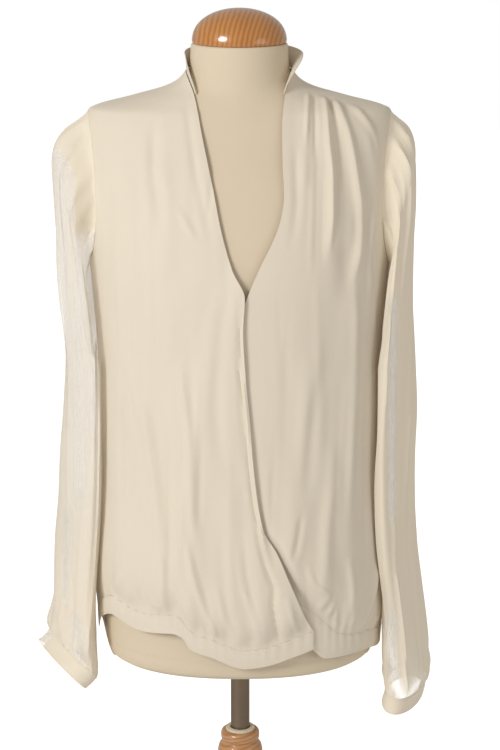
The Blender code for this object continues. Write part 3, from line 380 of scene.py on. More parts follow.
# Creases of the back, gathered at the shoulders and above the hem as the fronts are
BACK_CREASES = (
    (
        ((1.344, -0.098), (1.3, -0.096), (1.22, -0.09), (1.12, -0.088)),
        0.005, 0.002, 0.0, 0.008, 0.1,
    ),
    (
        ((1.345, 0.098), (1.29, 0.099), (1.22, 0.094), (1.13, 0.09)),
        0.005, 0.0022, 0.0, 0.008, 0.1,
    ),
    (((1.338, 0.118), (1.28, 0.124), (1.2, 0.122)), 0.0045, 0.0018, 0.0, 0.008, 0.08),
    (((1.34, -0.12), (1.28, -0.126), (1.21, -0.123)), 0.0045, 0.0018, 0.0, 0.008, 0.08),
    (((1.06, -0.08), (0.94, -0.07), (0.82, -0.072)), 0.007, 0.0018, 0.0, 0.1, 0.08),
    (((1.0, 0.002), (0.9, 0.006), (0.78, 0.0)), 0.007, 0.0018, 0.0, 0.1, 0.06),
    (((0.96, 0.052), (0.88, 0.05), (0.76, 0.056)), 0.006, 0.0018, 0.0, 0.08, 0.05),
    (((0.9, 0.098), (0.82, 0.093), (0.74, 0.09)), 0.0055, 0.0018, 0.0, 0.08, 0.04),
    (((0.88, -0.118), (0.8, -0.113), (0.73, -0.114)), 0.0055, 0.002, 0.0, 0.08, 0.04),
    (((0.82, -0.036), (0.76, -0.032), (0.7, -0.03)), 0.0045, 0.002, 0.0, 0.05, 0.02),
    (((0.8, 0.026), (0.75, 0.028), (0.695, 0.025)), 0.004, -0.0018, 0.0, 0.05, 0.02),
    (((0.79, 0.124), (0.74, 0.122), (0.7, 0.12)), 0.004, 0.0018, 0.0, 0.04, 0.02),
    (((0.78, -0.09), (0.73, -0.086), (0.695, -0.085)), 0.0038, -0.0018, 0.0, 0.04, 0.02),
)

# Rings of the sleeve head: outer across and height, inner clearance and height, half depth, hug
HEAD_RINGS_LEFT = (
    (0.173, 1.3275, 0.004, 1.166, 0.06, 0.006),
    (0.181, 1.318, 0.006, 1.156, 0.064, 0.008),
    (0.189, 1.301, 0.006, 1.143, 0.0675, 0.01),
    (0.1935, 1.275, 0.006, 1.128, 0.07, 0.012),
    (0.194, 1.24, 0.0055, 1.11, 0.0715, 0.014),
    (0.1925, 1.195, 0.0055, 1.088, 0.0725, 0.016),
    (0.193, 1.145, 0.005, 1.058, 0.073, 0.018),
)
HEAD_RINGS_RIGHT = (
    (0.174, 1.328, 0.004, 1.166, 0.06, 0.006),
    (0.185, 1.317, 0.006, 1.156, 0.064, 0.008),
    (0.1955, 1.296, 0.006, 1.143, 0.0675, 0.01),
    (0.205, 1.268, 0.006, 1.128, 0.07, 0.012),
    (0.2045, 1.232, 0.0055, 1.11, 0.0715, 0.014),
    (0.203, 1.19, 0.0055, 1.088, 0.0725, 0.016),
    (0.2025, 1.145, 0.005, 1.058, 0.073, 0.018),
)

# Rings down the sleeve: height, outer, inner clearance, half depth, front's shift, hug, inner
# end's drop
LENGTH_RINGS_LEFT = (
    (1.05, 0.1985, 0.0045, 0.073, -0.006, 0.018, 0.0),
    (0.995, 0.199, 0.0045, 0.073, -0.006, 0.018, 0.0),
    (0.94, 0.1975, 0.0045, 0.0725, -0.006, 0.018, 0.0),
    (0.885, 0.198, 0.0045, 0.072, -0.007, 0.017, 0.0),
    (0.83, 0.201, 0.0045, 0.071, -0.008, 0.015, 0.0),
    (0.78, 0.207, 0.005, 0.07, -0.009, 0.012, 0.0),
    (0.735, 0.213, 0.006, 0.069, -0.011, 0.008, -0.002),
    (0.7, 0.217, 0.007, 0.067, -0.013, 0.004, -0.004),
    (0.675, 0.219, 0.008, 0.064, -0.015, 0.001, -0.006),
    (0.657, 0.215, 0.012, 0.058, -0.016, 0.0, -0.008),
)
LENGTH_RINGS_RIGHT = (
    (1.05, 0.1975, 0.0045, 0.073, -0.006, 0.018, 0.0),
    (0.995, 0.1995, 0.0045, 0.073, -0.006, 0.018, 0.0),
    (0.94, 0.203, 0.0045, 0.0725, -0.006, 0.018, 0.0),
    (0.885, 0.205, 0.0045, 0.072, -0.007, 0.017, 0.0),
    (0.835, 0.209, 0.0045, 0.071, -0.009, 0.014, 0.0),
    (0.795, 0.211, 0.0055, 0.07, -0.012, 0.01, 0.002),
    (0.765, 0.213, 0.007, 0.068, -0.015, 0.006, 0.01),
    (0.743, 0.215, 0.009, 0.066, -0.018, 0.003, 0.02),
    (0.726, 0.217, 0.0105, 0.063, -0.021, 0.001, 0.031),
    (0.715, 0.215, 0.012, 0.057, -0.022, 0.0, 0.04),
)
CUFF_HEIGHT = 0.020
SLEEVE_CLEARANCE = 0.0045
SLEEVE_Y = 0.002
SLEEVE_WAVES, CUFF_GATHERS = 5, 11
# The station of the sleeve whose ring the head's smooth curve meets
HEAD_JOIN = 3

# Long creases of a sleeve: station and turn where it starts, station and turn where it ends,
# half width in turn, height. Turn 0 is the outer edge, a quarter turn the front.
SLEEVE_CREASES_RIGHT = (
    (-0.5, 0.7, 7.0, 0.95, 0.07, 0.0024),
    (0.5, 1.3, 9.5, 1.45, 0.08, 0.0024),
    (1.5, 0.8, 9.0, 1.1, 0.1, 0.002),
    (2.5, 1.45, 8.0, 1.6, 0.09, 0.0018),
    (4.0, 0.35, 14.0, 0.7, 0.12, 0.0022),
    (7.0, 1.9, 16.0, 1.55, 0.1, 0.0018),
    (9.0, 1.15, 16.2, 0.95, 0.09, 0.002),
    (12.0, 0.5, 16.2, 0.3, 0.08, 0.0018),
    (12.5, 2.2, 16.2, 2.05, 0.08, 0.0016),
    (3.0, 4.4, 13.0, 4.7, 0.12, 0.002),
    (6.0, 5.3, 16.0, 5.1, 0.12, 0.002),
    (11.0, 5.8, 16.2, 5.65, 0.09, 0.0016),
)
SLEEVE_CREASES_LEFT = (
    (-0.6, 0.8, 6.5, 0.95, 0.09, 0.003),
    (-0.6, 1.25, 8.5, 1.5, 0.1, 0.003),
    (-0.4, 0.45, 12.0, 0.6, 0.08, 0.0026),
    (2.0, 1.85, 12.0, 1.8, 0.1, 0.0022),
    (6.0, 0.25, 16.0, 0.4, 0.09, 0.0024),
    (8.0, 1.75, 16.0, 1.95, 0.11, 0.0026),
    (9.0, 1.05, 16.2, 1.2, 0.08, 0.0028),
    (12.5, 0.6, 16.2, 0.8, 0.07, 0.0016),
    (13.0, 2.35, 16.2, 2.2, 0.08, 0.0014),
    (3.0, 4.6, 12.0, 4.3, 0.12, 0.002),
    (7.0, 5.4, 16.0, 5.5, 0.12, 0.002),
    (11.0, 4.9, 16.2, 5.0, 0.09, 0.0016),
)

# Where the crepe of the shoulder ends and the sheer cloth begins: height, place across
CAP_EDGE = (
    (1.12, 0.176), (1.215, 0.1772), (1.258, 0.176), (1.27, 0.1815),
    (1.289, 0.1951), (1.3, 0.22),
)
# Height from which the shoulder's crepe covers the sleeve, more and more upwards
CAP_LOW_Z = 1.185

# How clear each sleeve hangs between its strips: height, clearness
DENSITY_RIGHT = ((0.640, -0.75), (0.780, -0.70), (0.900, -0.05), (1.000, 0.10), (1.340, 0.20))
DENSITY_LEFT = ((0.600, -0.60), (0.800, -0.95), (1.340, -0.95))

# Strips where a sleeve's cloth hangs in a single layer: path of (height, place across), half width
CLEAR_STRIPS_RIGHT = (
    (((1.29, 0.195), (1.24, 0.193), (1.18, 0.193), (1.11, 0.194), (1.04, 0.195)), 0.01),
    (((1.23, 0.159), (1.19, 0.1565), (1.13, 0.158), (1.06, 0.16), (0.98, 0.164)), 0.0055),
    (((1.24, 0.173), (1.19, 0.1715), (1.13, 0.174), (1.04, 0.176), (0.9, 0.178)), 0.007),
    (((0.88, 0.193), (0.82, 0.196), (0.77, 0.199)), 0.005),
    (((0.76, 0.185), (0.725, 0.183), (0.69, 0.184)), 0.008),
    (((0.72, 0.2), (0.7, 0.196)), 0.0055),
)
CLEAR_STRIPS_LEFT = (
    (((1.13, 0.168), (1.05, 0.167), (0.96, 0.168), (0.88, 0.17)), 0.0045),
    (((0.77, 0.172), (0.73, 0.171), (0.69, 0.176), (0.65, 0.19)), 0.006),
    (((0.676, 0.205), (0.666, 0.2), (0.66, 0.195)), 0.008),
)

# Stand collar along its seam, from the wearer's right front round to the left: share, height, lean
COLLAR_STATIONS = (
    (0.0, 0.003, 0.1),
    (0.1, 0.01, 0.1),
    (0.2, 0.018, 0.15),
    (0.35, 0.021, 0.2),
    (0.5, 0.023, 0.22),
    (0.65, 0.022, 0.3),
    (0.8, 0.018, 0.6),
    (0.9, 0.012, 0.8),
    (1.0, 0.003, 0.5),
)
COLLAR_STEPS = 130
COLLAR_FRONT_Z = 1.350
COLLAR_INSET = 0.0004
COLLAR_GAP = 0.0009

# Turned column, top to bottom: radius, height below its top
COLUMN_TURNING = (
    (0.0205, 0.0), (0.0225, 0.003), (0.0225, 0.01), (0.02, 0.013),
    (0.0245, 0.018), (0.0265, 0.026), (0.025, 0.04), (0.021, 0.07),
    (0.0195, 0.13), (0.0215, 0.19), (0.029, 0.24), (0.034, 0.27),
    (0.034, 0.4), (0.03, 0.415), (0.022, 0.425),
)

# A leg's centre line: reach from the pole's axis, height; then half width and half height
LEG_STATIONS = (
    (0.0343, 0.3, 0.011, 0.023),
    (0.065, 0.296, 0.011, 0.02),
    (0.11, 0.262, 0.0105, 0.017),
    (0.16, 0.19, 0.01, 0.0155),
    (0.205, 0.115, 0.01, 0.0145),
    (0.245, 0.05, 0.0105, 0.014),
    (0.272, 0.018, 0.012, 0.013),
)


# Curves and sections


def cubic(t, start, leave, end, arrive):
    """A curve from start to end that leaves and arrives in the given directions."""
    return (
        (1 + 2 * t) * (1 - t) ** 2 * start
        + t * (1 - t) ** 2 * leave
        + t * t * (3 - 2 * t) * end
        - t * t * (1 - t) * arrive
    )


def table_curve(table, key=0, value=1):
    """A smooth curve through two columns of a table, without overshoot, that reads whole arrays."""
    rows = sorted(table)
    xs = np.array([row[key] for row in rows], float)
    ys = np.array([row[value] for row in rows], float)
    steps = np.diff(xs)
    slopes = np.diff(ys) / steps
    tangents = np.concatenate([slopes[:1], np.zeros(len(slopes) - 1), slopes[-1:]])
    for i in range(1, len(slopes)):
        if slopes[i - 1] * slopes[i] > 0:
            near, far = 2 * steps[i] + steps[i - 1], steps[i] + 2 * steps[i - 1]
            tangents[i] = (near + far) / (near / slopes[i - 1] + far / slopes[i])

    def read(x):
        x = np.clip(np.asarray(x, float), xs[0], xs[-1])
        i = np.minimum(np.searchsorted(xs, x, side="right") - 1, len(steps) - 1)
        t = (x - xs[i]) / steps[i]
        return cubic(t, ys[i], steps[i] * tangents[i], ys[i + 1], steps[i] * tangents[i + 1])

    return read


def station_columns(rows, place):
    """Each column of a table as a smooth curve over the rows' numbers, read at the places."""
    return [
        table_curve([(k, row[column]) for k, row in enumerate(rows)])(place)
        for column in range(len(rows[0]))
    ]


def smooth_step(t):
    t = np.clip(t, 0.0, 1.0)
    return t * t * (3 - 2 * t)


def signed_power(value, power):
    return np.sign(value) * np.abs(value) ** power


def turns_round(count):
    """Angles evenly spaced round a full turn."""
    return 2 * math.pi * np.arange(count) / count


def at_pole(points):
    """The same points moved from the pole's axis to the pole's place."""
    return points + np.array([0, POLE_Y, 0])


def linked(name, data):
    """A new object with this mesh, lamp or camera, in the scene."""
    obj = bpy.data.objects.new(name, data)
    bpy.context.scene.collection.objects.link(obj)
    return obj


class Sections:
    """A rounded body given by plan sections, each a squared ellipse."""

    def __init__(self, levels):
        self.half_width = table_curve(levels, 0, 1)
        self.front = table_curve(levels, 0, 2)
        self.back = table_curve(levels, 0, 3)
        self.squareness = table_curve(levels, 0, 4)

    def depth(self, z, side):
        return np.where(np.asarray(side) < 0, self.front(z), self.back(z))

    def point(self, x, z, side):
        """Points above (x, z) in the front view, in front for side -1 and behind for +1."""
        reach = np.minimum(np.abs(x) / self.half_width(z), 1.0)
        n = self.squareness(z)
        y = side * self.depth(z, side) * (1 - reach**n) ** (1 / n)
        return np.stack(np.broadcast_arrays(x, y, z), axis=-1)

    def at_angle(self, angle, z):
        """Points at an angle from the front, positive towards +X."""
        n = self.squareness(z)
        sine, cosine = np.sin(angle), np.cos(angle)
        side = np.where(cosine >= 0, -1, 1)
        x = self.half_width(z) * signed_power(sine, 2 / n)
        y = side * self.depth(z, side) * np.abs(cosine) ** (2 / n)
        return np.stack(np.broadcast_arrays(x, y, z), axis=-1)

    def normal(self, point, side):
        x, y, z = point[..., 0], point[..., 1], point[..., 2]
        n = self.squareness(z)
        width, depth = self.half_width(z), self.depth(z, side)
        step = 0.0005
        width_slope = (self.half_width(z + step) - self.half_width(z - step)) / (2 * step)
        depth_slope = (self.depth(z + step, side) - self.depth(z - step, side)) / (2 * step)
        across, through = np.minimum(np.abs(x) / width, 1.0), np.minimum(np.abs(y) / depth, 1.0)
        normal = np.stack(
            [
                np.sign(x) * across ** (n - 1) / width,
                side * through ** (n - 1) / depth,
                -(across**n) * width_slope / width - through**n * depth_slope / depth,
            ],
            axis=-1,
        )
        return normal / np.linalg.norm(normal, axis=-1, keepdims=True)


CLOTH = Sections(CLOTH_LEVELS)
BUST = Sections(BUST_LEVELS)
lap_edge_x = table_curve(LAP_EDGE)
under_edge_x = table_curve(UNDER_EDGE)
lap_hem_z = table_curve(LAP_HEM)
under_hem_z = table_curve(UNDER_HEM)
under_seam_z = table_curve(UNDER_SEAM)
back_hem_z = table_curve(BACK_HEM)


def lap_seam_z(x):
    return lap_hem_z(x) + BAND_HEIGHT


def back_seam_z(x):
    return back_hem_z(x) + BAND_HEIGHT


def shoulder_z(x):
    """Height of the shoulder line at each place across, where the section's side reaches it."""
    low = np.full_like(x, SHOULDER_TIP_Z - 0.02)
    high = np.full_like(x, BACK_NECK_Z)
    for _ in range(40):
        middle = (low + high) / 2
        wide = CLOTH.half_width(middle) > np.abs(x)
        low, high = np.where(wide, middle, low), np.where(wide, high, middle)
    return np.where(np.abs(x) <= CLOTH.half_width(BACK_NECK_Z), BACK_NECK_Z, (low + high) / 2)


def armhole_x(z):
    """Edge of a panel at the side: the side seam, then the armhole above the underarm."""
    share = np.clip((z - UNDERARM_Z) / (SHOULDER_TIP_Z - UNDERARM_Z), 0.0, 1.0)
    return CLOTH.half_width(z) - ARMHOLE_INSET * np.abs(np.sin(math.pi * share)) ** 0.6


def armhole_height(turn):
    """Height of a point of the armhole: turn 0 is the shoulder tip, half a turn the underarm."""
    return UNDERARM_Z + (SHOULDER_TIP_Z - UNDERARM_Z) * (1 + np.cos(turn)) / 2


# How the cloth stands off the plain form


def drape_height(x, z, drapes):
    """Broad drapes: each is a ridge between two shallow troughs."""
    height = np.zeros_like(x)
    for top_x, top_z, bottom_x, bottom_z, bow, half_width, rise in drapes:
        along = (top_z - z) / (top_z - bottom_z)
        centre = top_x + (bottom_x - top_x) * along + 4 * bow * along * (1 - along)
        offset = ((x - centre) / half_width) ** 2
        ends = smooth_step(along / 0.25) * smooth_step((1 - along) / 0.2)
        height += rise * ends * (1 - 0.9 * offset) * np.exp(-offset)
    return height


def crease_height(x, z, creases):
    """Narrow creases along their paths: a ridge with troughs beside it, and a step across it."""
    height = np.zeros_like(x)
    for path, width, ridge, step, start, end in creases:
        centre_at = table_curve(path)
        slope = (centre_at(z + 0.003) - centre_at(z - 0.003)) / 0.006
        offset = (x - centre_at(z)) / (width * np.sqrt(1 + slope**2))
        top, bottom = path[0][0], path[-1][0]
        ends = smooth_step((top - z) / start + 0.3) * smooth_step((z - bottom) / end + 0.3)
        bell = np.exp(-(offset**2))
        height += ends * bell * (ridge * (1 - 0.9 * offset**2) + step * 2.3 * offset)
    return height


def stray_creases(seed, count, reach, low, high, rise):
    """Many faint, nearly upright creases, so that no stretch of cloth lies quite even."""
    chance = np.random.RandomState(seed)
    creases = []
    for _ in range(count):
        length = chance.uniform(0.06, 0.22)
        top = chance.uniform(low + length, high)
        x = chance.uniform(-reach, reach)
        lean = chance.uniform(-0.010, 0.010)
        width = chance.uniform(0.0030, 0.0085)
        ridge = rise * chance.uniform(0.4, 1.0) * chance.choice((-1, 1))
        path = ((top, x), (top - length / 2, x + lean * 0.6), (top - length, x + lean))
        creases.append((path, width, ridge, 0.0, length * 0.4, length * 0.4))
    return tuple(creases)


def overhang(reach, above_seam):
    """The cloth blouses out over the gathered band, less so beside the sleeves."""
    share = np.maximum(above_seam, 0.0) / OVERHANG_HEIGHT
    return BLOUSE_OVERHANG * (1 - 0.75 * reach**4) * share**2 * np.exp(2 - 2 * share)


def gathers(x, above_seam, pitch, fine_pitch):
    """Waves of two sizes that fade upwards from the seam of the band, no two alike."""
    above = np.maximum(above_seam, 0.0)
    rise = smooth_step(above / 0.015) * np.exp(-above / 0.050)
    broad = BROAD_GATHER * np.cos(2 * math.pi * x / pitch + 1.5 * np.sin(31 * x))
    fine_rise = smooth_step(above / 0.004) * np.exp(-above / 0.022)
    strength = 0.55 + 0.45 * np.sin(83 * x + 1.0) * np.sin(37 * x)
    ripple = np.cos(2 * math.pi * x / fine_pitch + 2.2 * np.sin(57 * x))
    fine = FINE_GATHER * strength * ripple
    return rise * broad + fine_rise * fine


def side_fade(reach, z):
    """Folds die out at the side seams, the armholes and the shoulder seams, and begin to do so
    below the underarm, so that no step shows there."""
    inset = ARMHOLE_INSET * smooth_step((z - UNDERARM_Z + 0.055) / 0.070)
    return smooth_step((1 - inset / CLOTH.half_width(z) - reach) / 0.10)


def lap_lift(x, z):
    """The lapping front stands off where the other front lies beneath it."""
    return WRAP_LIFT * smooth_step((x - under_edge_x(z) + 0.040) / 0.030)


LAP_STRAYS = stray_creases(11, 46, 0.145, 0.78, 1.33, 0.0007)
UNDER_STRAYS = stray_creases(23, 40, 0.150, 0.80, 1.33, 0.0007)
BACK_STRAYS = stray_creases(37, 52, 0.150, 0.70, 1.34, 0.0008)


def even_relief(x, z, above, drapes, creases, pitch, sizes):
    """Drapes, creases and gathers of a panel that nothing covers."""
    folds = DRAPE_SHARE * drape_height(x, z, drapes) + CREASE_SHARE * crease_height(x, z, creases)
    return folds * smooth_step(above / 0.012) + gathers(x, above, pitch, sizes.gather_pitch)


def lap_front_relief(reach, x, z, above, sizes):
    creases = LAP_CREASES + LAP_STRAYS
    folds = even_relief(x, z, above, FRONT_DRAPES, creases, FRONT_GATHER_PITCH, sizes)
    return sizes.fold_depth * side_fade(reach, z) * folds + overhang(reach, above) + lap_lift(x, z)


def under_front_relief(reach, x, z, above, sizes):
    """Where the lapping front covers it, this front has only its broad drapes."""
    bare = smooth_step((x - lap_edge_x(z)) / 0.012)
    folds = DRAPE_SHARE * drape_height(x, z, FRONT_DRAPES) * smooth_step(above / 0.03)
    creases = CREASE_SHARE * crease_height(x, z, UNDER_CREASES + UNDER_STRAYS)
    folds = folds + bare * creases * smooth_step(above / 0.012)
    folds = folds + bare * gathers(x, above, FRONT_GATHER_PITCH, sizes.gather_pitch)
    return sizes.fold_depth * side_fade(reach, z) * folds + bare * overhang(reach, above)


def back_relief(reach, x, z, above, sizes):
    creases = BACK_CREASES + BACK_STRAYS
    folds = even_relief(x, z, above, BACK_DRAPES, creases, BACK_GATHER_PITCH, sizes)
    return sizes.fold_depth * side_fade(reach, z) * folds + overhang(reach, above)


# Cutting the panels


def even_spread(u):
    return u


def back_spread(u):
    """Share of the way across the back's upper rows: even in angle round the neck, and even
    along each shoulder."""
    shoulder = (1 - NECK_SHARE) / 2
    neck = CLOTH.half_width(BACK_NECK_Z) / CLOTH.half_width(SHOULDER_TIP_Z)
    middle = 0.5 + neck / 2 * np.sin(math.pi * (u - 0.5) / (1 - 2 * shoulder))
    near, far = (1 - neck) / 2 * u / shoulder, 1 - (1 - neck) / 2 * (1 - u) / shoulder
    return np.where(u < shoulder, near, np.where(u > 1 - shoulder, far, middle))


def row_places(start, end, columns, spread):
    """Places along each row between two edges: share of the half width, place across on the
    straight line, and height. Rows are even in angle round the body below the armhole."""
    start_x, start_z = start[:, :1], start[:, 1:]
    end_x, end_z = end[:, :1], end[:, 1:]
    upper = smooth_step((np.maximum(start_z, end_z) - UNDERARM_Z) / (SHOULDER_TIP_Z - UNDERARM_Z))
    n = CLOTH.squareness((start_z + end_z) / 2)
    first_reach = np.clip(start_x / CLOTH.half_width(start_z), -1.0, 1.0)
    last_reach = np.clip(end_x / CLOTH.half_width(end_z), -1.0, 1.0)
    side = np.maximum(np.abs(first_reach), np.abs(last_reach))
    first, last = (
        np.arcsin(signed_power(reach / side, n / 2)) for reach in (first_reach, last_reach)
    )
    u = np.linspace(0.0, 1.0, columns + 1)[None, :]
    across = spread(u)
    reach = side * signed_power(np.sin(first + (last - first) * u), 2 / n)
    apart = np.where(np.abs(last_reach - first_reach) < 1e-9, 1.0, last_reach - first_reach)
    turned = np.where(np.abs(last - first) > 0.2, (reach - first_reach) / apart, across)
    share = (1 - upper) * turned + upper * across
    line_x = start_x + (end_x - start_x) * across
    return upper, reach, line_x, start_z + (end_z - start_z) * share


def cut_panel(start_edge, end_edge, seam_z, columns, side, relief, sizes, spread=even_spread):
    """A panel's points, hem seam first, and where each column meets that seam.

    Rows bend to the seam of the band below them and to the shoulder seam above them.
    """
    upper, reach, line_x, z = row_places(start_edge, end_edge, columns, spread)
    seam_level = z[0]
    for _ in range(6):
        seam_level = seam_z(reach[0] * CLOTH.half_width(seam_level))
    to_seam = seam_level - z[0]
    to_shoulder = shoulder_z(line_x[-1]) - z[-1]
    rise = start_edge[:, 1:] - start_edge[0, 1]
    climb = rise / rise[-1]
    near_seam, near_shoulder = 1 - smooth_step(climb / 0.6), smooth_step((climb - 0.7) / 0.3)
    z = z + near_seam * to_seam + near_shoulder * to_shoulder
    half_width = CLOTH.half_width(z)
    x = (1 - upper) * reach * half_width + upper * line_x
    x = np.clip(x, -half_width, half_width)
    points = CLOTH.point(x, z, side)
    height = relief(np.abs(x) / half_width, x, z, z - seam_z(x), sizes)
    points = points + CLOTH.normal(points, side) * height[..., None]
    return points + np.array([0, side * SEAM_GAP / 2, 0]), (reach[0], seam_level)


def side_heights(side_bottom):
    """Heights where a panel's rows end at its side: down the side seam, then round the armhole."""
    below = np.linspace(side_bottom, UNDERARM_Z, ROWS_BELOW + 1)
    share = np.linspace(0, 1, ROWS_ABOVE + 1)[1:]
    round_armhole = armhole_height(math.pi * (1 - share))
    above = 0.5 * round_armhole + 0.5 * (UNDERARM_Z + (SHOULDER_TIP_Z - UNDERARM_Z) * share)
    return np.concatenate([below, above])


def front_edges(edge_x, seam_z, side_sign):
    """Ends of a front's rows: on its free edge, and on its side seam and armhole."""
    side_bottom = float(seam_z(side_sign * CLOTH.half_width(SIDE_HEM_Z)))
    edge_bottom = 0.80
    for _ in range(30):
        edge_bottom = float(seam_z(edge_x(edge_bottom)))
    heights = side_heights(side_bottom)
    share = (heights - side_bottom) / (SHOULDER_TIP_Z - side_bottom)
    levels = edge_bottom + (BACK_NECK_Z - edge_bottom) * share
    free_edge = np.stack([edge_x(levels), levels], axis=1)
    return free_edge, np.stack([side_sign * armhole_x(heights), heights], axis=1)


def back_edge(side_sign):
    heights = side_heights(float(back_seam_z(side_sign * CLOTH.half_width(SIDE_HEM_Z))))
    return np.stack([side_sign * armhole_x(heights), heights], axis=1)


def band_points(seam, hem_z, side, lift, pitch):
    """A hem band: its upper edge follows the gathering seam, and it puckers a little there."""
    reach, seam_level = seam
    share = np.linspace(1.0, 0.0, 10)[:, None]
    top = seam_level - SEAM_GAP
    low = hem_z(reach * CLOTH.half_width(seam_level))
    z = top + (low - top) * share
    x = reach * CLOTH.half_width(z)
    points = CLOTH.point(x, z, side)
    upper_roll = np.exp(-(((share - 0.96) / 0.06) ** 2))
    lower_roll = np.exp(-(((share - 0.10) / 0.07) ** 2))
    roll = BAND_ROLL * (upper_roll + 0.8 * lower_roll)
    ripple = np.cos(2 * math.pi * x / pitch + 2.2 * np.sin(57 * x))
    pucker = BAND_PUCKER * (1 - share) * ripple
    swell = BAND_SWELL * np.sin(math.pi * share) * (0.6 + 0.4 * np.sin(47 * x + 2.0))
    fade = smooth_step((1 - np.abs(reach)) / 0.06)
    height = lift(x, seam_level + 0 * z) + fade * (roll + pucker + swell)
    points = points + CLOTH.normal(points, side) * height[..., None]
    return points + np.array([0, side * SEAM_GAP / 2, 0])


def no_lift(x, z):
    return 0.0 * x


# Sleeves, cuffs and collar


def armhole_loop(side_sign):
    """Edge of the armhole from the shoulder tip down the front and up the back."""
    turn = turns_round(SLEEVE_SIDES)
    z = armhole_height(turn)
    points = CLOTH.point(armhole_x(z), z, np.where(turn < math.pi, -1, 1))
    middle = (UNDERARM_Z + SHOULDER_TIP_Z) / 2
    inwards = np.stack([0 * z, -points[:, 1], middle - z], axis=1)
    inwards /= np.linalg.norm(inwards, axis=1, keepdims=True)
    points = points + ARMHOLE_GAP * (np.array([0.8, 0, 0]) + 0.6 * inwards)
    return points * np.array([side_sign, 1, 1])


def body_side_x(y, z):
    """How far the blouse's body reaches sideways at a depth, with its overhang near the band."""
    side = np.where(y < 0, -1, 1)
    n = CLOTH.squareness(z)
    through = np.minimum(np.abs(y) / CLOTH.depth(z, side), 1.0)
    bulge = BODY_SWELL * np.exp(-(((z - BODY_SWELL_Z) / BODY_SWELL_REACH) ** 2))
    return CLOTH.half_width(z) * (1 - through**n) ** (1 / n) + bulge


def ring_points(side_sign, outer, inner, half_depth, front_shift, hug, waves):
    """Flattened rings, one a row, between outer and inner ends, hugging the body in front and
    behind."""
    turn = turns_round(SLEEVE_SIDES)
    centre, arm = (outer + inner) / 2, (outer - inner) / 2
    cosine, sine = np.cos(turn), np.sin(turn)
    x = centre[:, :1] + arm[:, :1] * cosine * (1 + waves) + front_shift * sine - hug * sine**2
    z = centre[:, 1:] + arm[:, 1:] * cosine
    y = SLEEVE_Y - half_depth * sine * (1 + 0.25 * waves)
    clearance = SLEEVE_CLEARANCE * (1 + 0.8 * np.maximum(cosine, -0.5))
    x = np.maximum(x, body_side_x(y, z) + clearance)
    return np.stack([side_sign * x, y, z], axis=-1)


def ring_ends(z, outer_x, clearance, drop):
    """A lower ring's outer and inner ends, and the way down the sleeve, square to their line."""
    outer = np.array([outer_x, z])
    inner = np.array([float(CLOTH.half_width(max(z - drop, 0.70))) + clearance, z - drop])
    across, rise = (outer - inner) / np.linalg.norm(outer - inner)
    return outer, inner, np.array([rise, -across])


def sleeve_stations(head_rings, length_rings):
    """Each ring as one row: outer end, inner end, half depth, front's shift, hug."""
    stations = []
    for outer_x, outer_z, clearance, inner_z, half_depth, hug in head_rings:
        inner_x = float(CLOTH.half_width(inner_z)) + clearance
        stations.append((outer_x, outer_z, inner_x, inner_z, half_depth, 0.0, hug))
    for *place, half_depth, shift, hug, drop in length_rings:
        outer, inner, _ = ring_ends(*place, drop)
        stations.append((*outer, *inner, half_depth, shift, hug))
    return stations


def sleeve_head(side_sign, loop, ring, step, rows):
    """Rows from the armhole to a ring of the sleeve. They leave the body in the direction its own
    cloth has there, so that the shoulder runs on into the sleeve without a corner."""
    plain = loop * np.array([side_sign, 1, 1])
    normals = CLOTH.normal(plain, np.where(plain[:, 1] < 0, -1, 1)) * np.array([side_sign, 1, 1])
    edge = np.roll(loop, -1, axis=0) - np.roll(loop, 1, axis=0)
    leave = np.cross(normals, edge)
    leave /= np.linalg.norm(leave, axis=1, keepdims=True)
    span = ring - loop
    leave *= np.where((leave * span).sum(axis=1, keepdims=True) < 0, -1.0, 1.0)
    reach = np.linalg.norm(span, axis=1, keepdims=True)
    turn = turns_round(len(loop))
    pull = (0.35 + 0.55 * smooth_step(np.cos(turn)))[:, None]
    t = np.linspace(0, 1, rows, endpoint=False)[:, None, None]
    return cubic(t, loop, leave * reach * pull, ring, step * rows)


